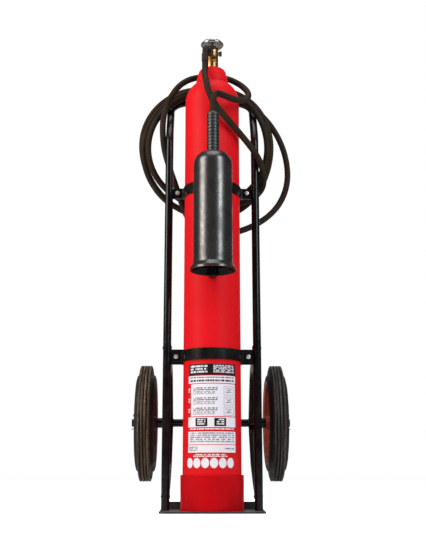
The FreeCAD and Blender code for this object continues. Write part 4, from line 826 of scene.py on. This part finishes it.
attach(handwheel, "handwheel_set")
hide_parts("handwheel")


# Hose: five metres of 16 mm rubber hose, crimped to an elbow at the valve, hung in three loose
# loops between the dome and the handle, and led over the neck to the horn's grip.
hose_rubber = finish("hose_rubber", seen(35, 26, 19), seen(48, 38, 29), (0.55, 0.7), cloud=26,
                     scratch=260, scratch_share=0.15, dust=0.12, dust_colour=seen(96, 84, 70),
                     grain=900, grain_depth=0.25, wave=70, wave_depth=0.03, shine=0.08)
crimp_black = finish("crimp_black", seen(33, 25, 18), seen(46, 37, 29), (0.5, 0.65), cloud=60,
                     scratch=260, scratch_share=0.3, dust=0.08, shine=0.15)
dress(crimp_black, "hose_tail", "valve_ferrule")
hose_radius = 0.008
valve_route = (
    (-0.0190, -0.0495, 1.1260), (-0.0190, -0.0495, 1.1100), (-0.020, -0.062, 1.086),
    (-0.017, -0.078, 1.060), (-0.013, -0.087, 1.036), (-0.006, -0.091, 1.013),
    (0.004, -0.091, 0.992), (0.019, -0.088, 0.973), (0.035, -0.081, 0.956),
    (0.052, -0.069, 0.941), (0.071, -0.050, 0.926),
    (0.089, -0.035, 0.910), (0.105, -0.030, 0.890), (0.119, -0.026, 0.868), (0.129, -0.012, 0.848),
    (0.134, 0.007, 0.830), (0.133, 0.028, 0.814), (0.125, 0.048, 0.803), (0.110, 0.062, 0.793),
    (0.088, 0.073, 0.785), (0.060, 0.082, 0.778), (0.030, 0.086, 0.774))
horn_route = (
    (0, 0.088, 0.698), (-0.026, 0.088, 0.698), (-0.051, 0.083, 0.717), (-0.070, 0.069, 0.754),
    (-0.084, 0.053, 0.789), (-0.095, 0.043, 0.820), (-0.106, 0.036, 0.850), (-0.116, 0.030, 0.880),
    (-0.124, 0.025, 0.908), (-0.128, 0.021, 0.936), (-0.130, 0.019, 0.965), (-0.129, 0.019, 0.994),
    (-0.125, 0.023, 1.021), (-0.117, 0.027, 1.047), (-0.106, 0.030, 1.070), (-0.093, 0.034, 1.092),
    (-0.076, 0.038, 1.110), (-0.055, 0.045, 1.124), (-0.029, 0.055, 1.134), (0, 0.060, 1.138),
    (0.025, 0.054, 1.132), (0.045, 0.044, 1.123), (0.061, 0.031, 1.109), (0.075, 0.016, 1.093),
    (0.086, 0, 1.075), (0.093, -0.018, 1.056), (0.094, -0.034, 1.038), (0.088, -0.050, 1.021),
    (0.076, -0.067, 1.010), (0.059, -0.085, 1.004), (0.040, -0.104, 1.002), (0.022, -0.121, 1.002),
    (0.008, -0.134, 1.000), (0.001, -0.140, 0.988), (0, -0.140, 0.968), (0, -0.140, 0.944))

# The lowest, left, highest and right points of each loop, with the lean of the hose there.
loop_bottoms = ((0, 0.086, 0.774, 0), (0, 0.105, 0.771, -0.3), (0, 0.122, 0.757, 0),
                (0, 0.088, 0.698, 0))
loop_lefts = ((-0.168, 0.041, 0.923, 0), (-0.182, 0.062, 0.923, 0), (-0.190, 0.116, 0.952, -0.06))
loop_tops = ((0, 0.063, 1.092, 0), (0, 0.077, 1.109, 0), (0, 0.118, 1.124, -0.17))
loop_rights = ((0.144, 0.017, 0.915, 0), (0.155, 0.040, 0.926, 0), (0.206, 0.112, 0.887, 0.05))
# The curve passes inside its points, so each is pushed out by a quarter of its bow.
arc_steps, push_out = 3, 0.25


def arc_points(start, heading, end):
    """Walk the round arc that leaves a point in a heading, and stop before its end."""
    along = (end - start).normalized()
    turn = heading.angle(along)
    reach = (end - start).length / 2 / math.sin(turn)
    inward = (along - heading * heading.dot(along)).normalized()
    return [start + inward * reach * (1 - math.cos(2 * turn * step / arc_steps))
            + heading * reach * math.sin(2 * turn * step / arc_steps) for step in range(arc_steps)]


quarters = []
for turn in range(3):
    for corners, heading in ((loop_bottoms, (-1, 0, 0)), (loop_lefts, (0, 0, 1)),
                             (loop_tops, (1, 0, 0)), (loop_rights, (0, 0, -1))):
        *spot, lean = corners[turn]
        aside = Vector((0, 0, lean)) if heading[0] else Vector((lean, 0, 0))
        quarters.append((Vector(spot), (Vector(heading) + aside).normalized()))
quarters.append((Vector(loop_bottoms[3][:3]), Vector((-1, 0, 0))))
turns = [Vector(valve_route[-1])]
for (start, leaving), (end, arriving) in zip(quarters, quarters[1:]):
    gap, both = end - start, leaving + arriving
    spread = 2 * (1 - leaving.dot(arriving))
    reach = (math.sqrt(gap.dot(both) ** 2 + spread * gap.dot(gap)) - gap.dot(both)) / spread
    first_corner, last_corner = start + leaving * reach, end - arriving * reach
    meeting, shared = (first_corner + last_corner) / 2, (last_corner - first_corner).normalized()
    turns += arc_points(start, leaving, meeting) + arc_points(meeting, shared, end)
turns += [quarters[-1][0], Vector(horn_route[1])]
coil_points = [here + (here - (before + after) / 2) * push_out
               for before, here, after in zip(turns, turns[1:], turns[2:])]


def hose_curve(name, points, radius):
    """Lay a smooth round hose along its points."""
    curve = bpy.data.curves.new(name, "CURVE")
    curve.dimensions = "3D"
    spline = curve.splines.new("NURBS")
    spline.points.add(len(points) - 1)
    for spot, point in zip(spline.points, points):
        spot.co = (*point, 1)
    spline.order_u = 3
    spline.use_endpoint_u = True
    spline.resolution_u = 8
    curve.bevel_depth = radius
    curve.bevel_resolution = 6
    curve.use_fill_caps = True
    piece = bpy.data.objects.new(name, curve)
    bpy.context.scene.collection.objects.link(piece)
    return piece


main_hose = hose_curve("main_hose", [*valve_route, *coil_points], hose_radius)
main_hose.data.materials.append(hose_rubber)
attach(main_hose, "trolley")
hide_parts("hose_valve_run", "hose_coil")

# The last stretch goes round the neck and down to the horn.
guide = hose_curve("horn_hose_guide", horn_route, 0)
bpy.context.view_layer.update()
line = bpy.data.meshes.new_from_object(guide.evaluated_get(bpy.context.evaluated_depsgraph_get()))
bpy.data.meshes.remove(line)
bpy.data.objects.remove(guide)
horn_curve = hose_curve("horn_hose", horn_route, hose_radius)
deselect()
horn_curve.select_set(True)
bpy.context.view_layer.objects.active = horn_curve
bpy.ops.object.convert(target="MESH")
horn_hose = bpy.context.object
horn_hose.data.materials.append(hose_rubber)
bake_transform(horn_hose)
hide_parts("hose_horn_run")


# Horn: a moulded black discharge horn with a ribbed rubber grip; shade inside its bore is painted
# near black. It hangs in front of the bottle on a steel hook that is screwed to the upper band and
# holds the back of its lip.
horn_forward, bore_start, bore_full = 0.140, -0.002, -0.006
horn_plastic = finish("horn_plastic", seen(94, 92, 91), seen(66, 65, 66), (0.25, 0.33),
                      gloss=0.10, metal=0.9, cloud=36, scratch=240, scratch_share=0.8,
                      dust=0.08, grain=500, grain_depth=0.15, wave=34, wave_depth=0.02)
horn_tree = horn_plastic.node_tree
horn_shader = horn_tree.nodes["Principled BSDF"]
horn_shader.inputs["Coat Roughness"].default_value = 0.25
from_axis = add(horn_tree, "Mapping", {"Vector": add(horn_tree, "TexCoord").outputs["Object"],
                                       "Location": (0, horn_forward, 0), "Scale": (1, 1, 0)})
outward = add(horn_tree, "VectorMath", {0: from_axis.outputs[0],
                                        1: add(horn_tree, "NewGeometry").outputs["Normal"]},
              operation="DOT_PRODUCT")
# Painted shade: faces that look in towards the horn's axis, inside the bore, are blended to near
# black.
bore_painted_shade = add(horn_tree, "MapRange", {"Value": outward.outputs["Value"], "From Min": bore_start,
                                     "From Max": bore_full})
bore_shaded_colour = add(horn_tree, "MixRGB", {"Fac": bore_painted_shade.outputs[0], "Color2": seen(5, 5, 5),
                                  "Color1": horn_shader.inputs["Base Color"].links[0].from_socket})
horn_tree.links.new(bore_shaded_colour.outputs[0], horn_shader.inputs["Base Color"])
dress(horn_plastic, "horn")
grip_rubber = finish("grip_rubber", seen(15, 15, 16), seen(26, 25, 25), (0.4, 0.54), gloss=0.1,
                     cloud=60, scratch=200, scratch_share=0.3, dust=0.08, grain=700,
                     grain_depth=0.2, shine=0.6)
dress(grip_rubber, "horn_grip")
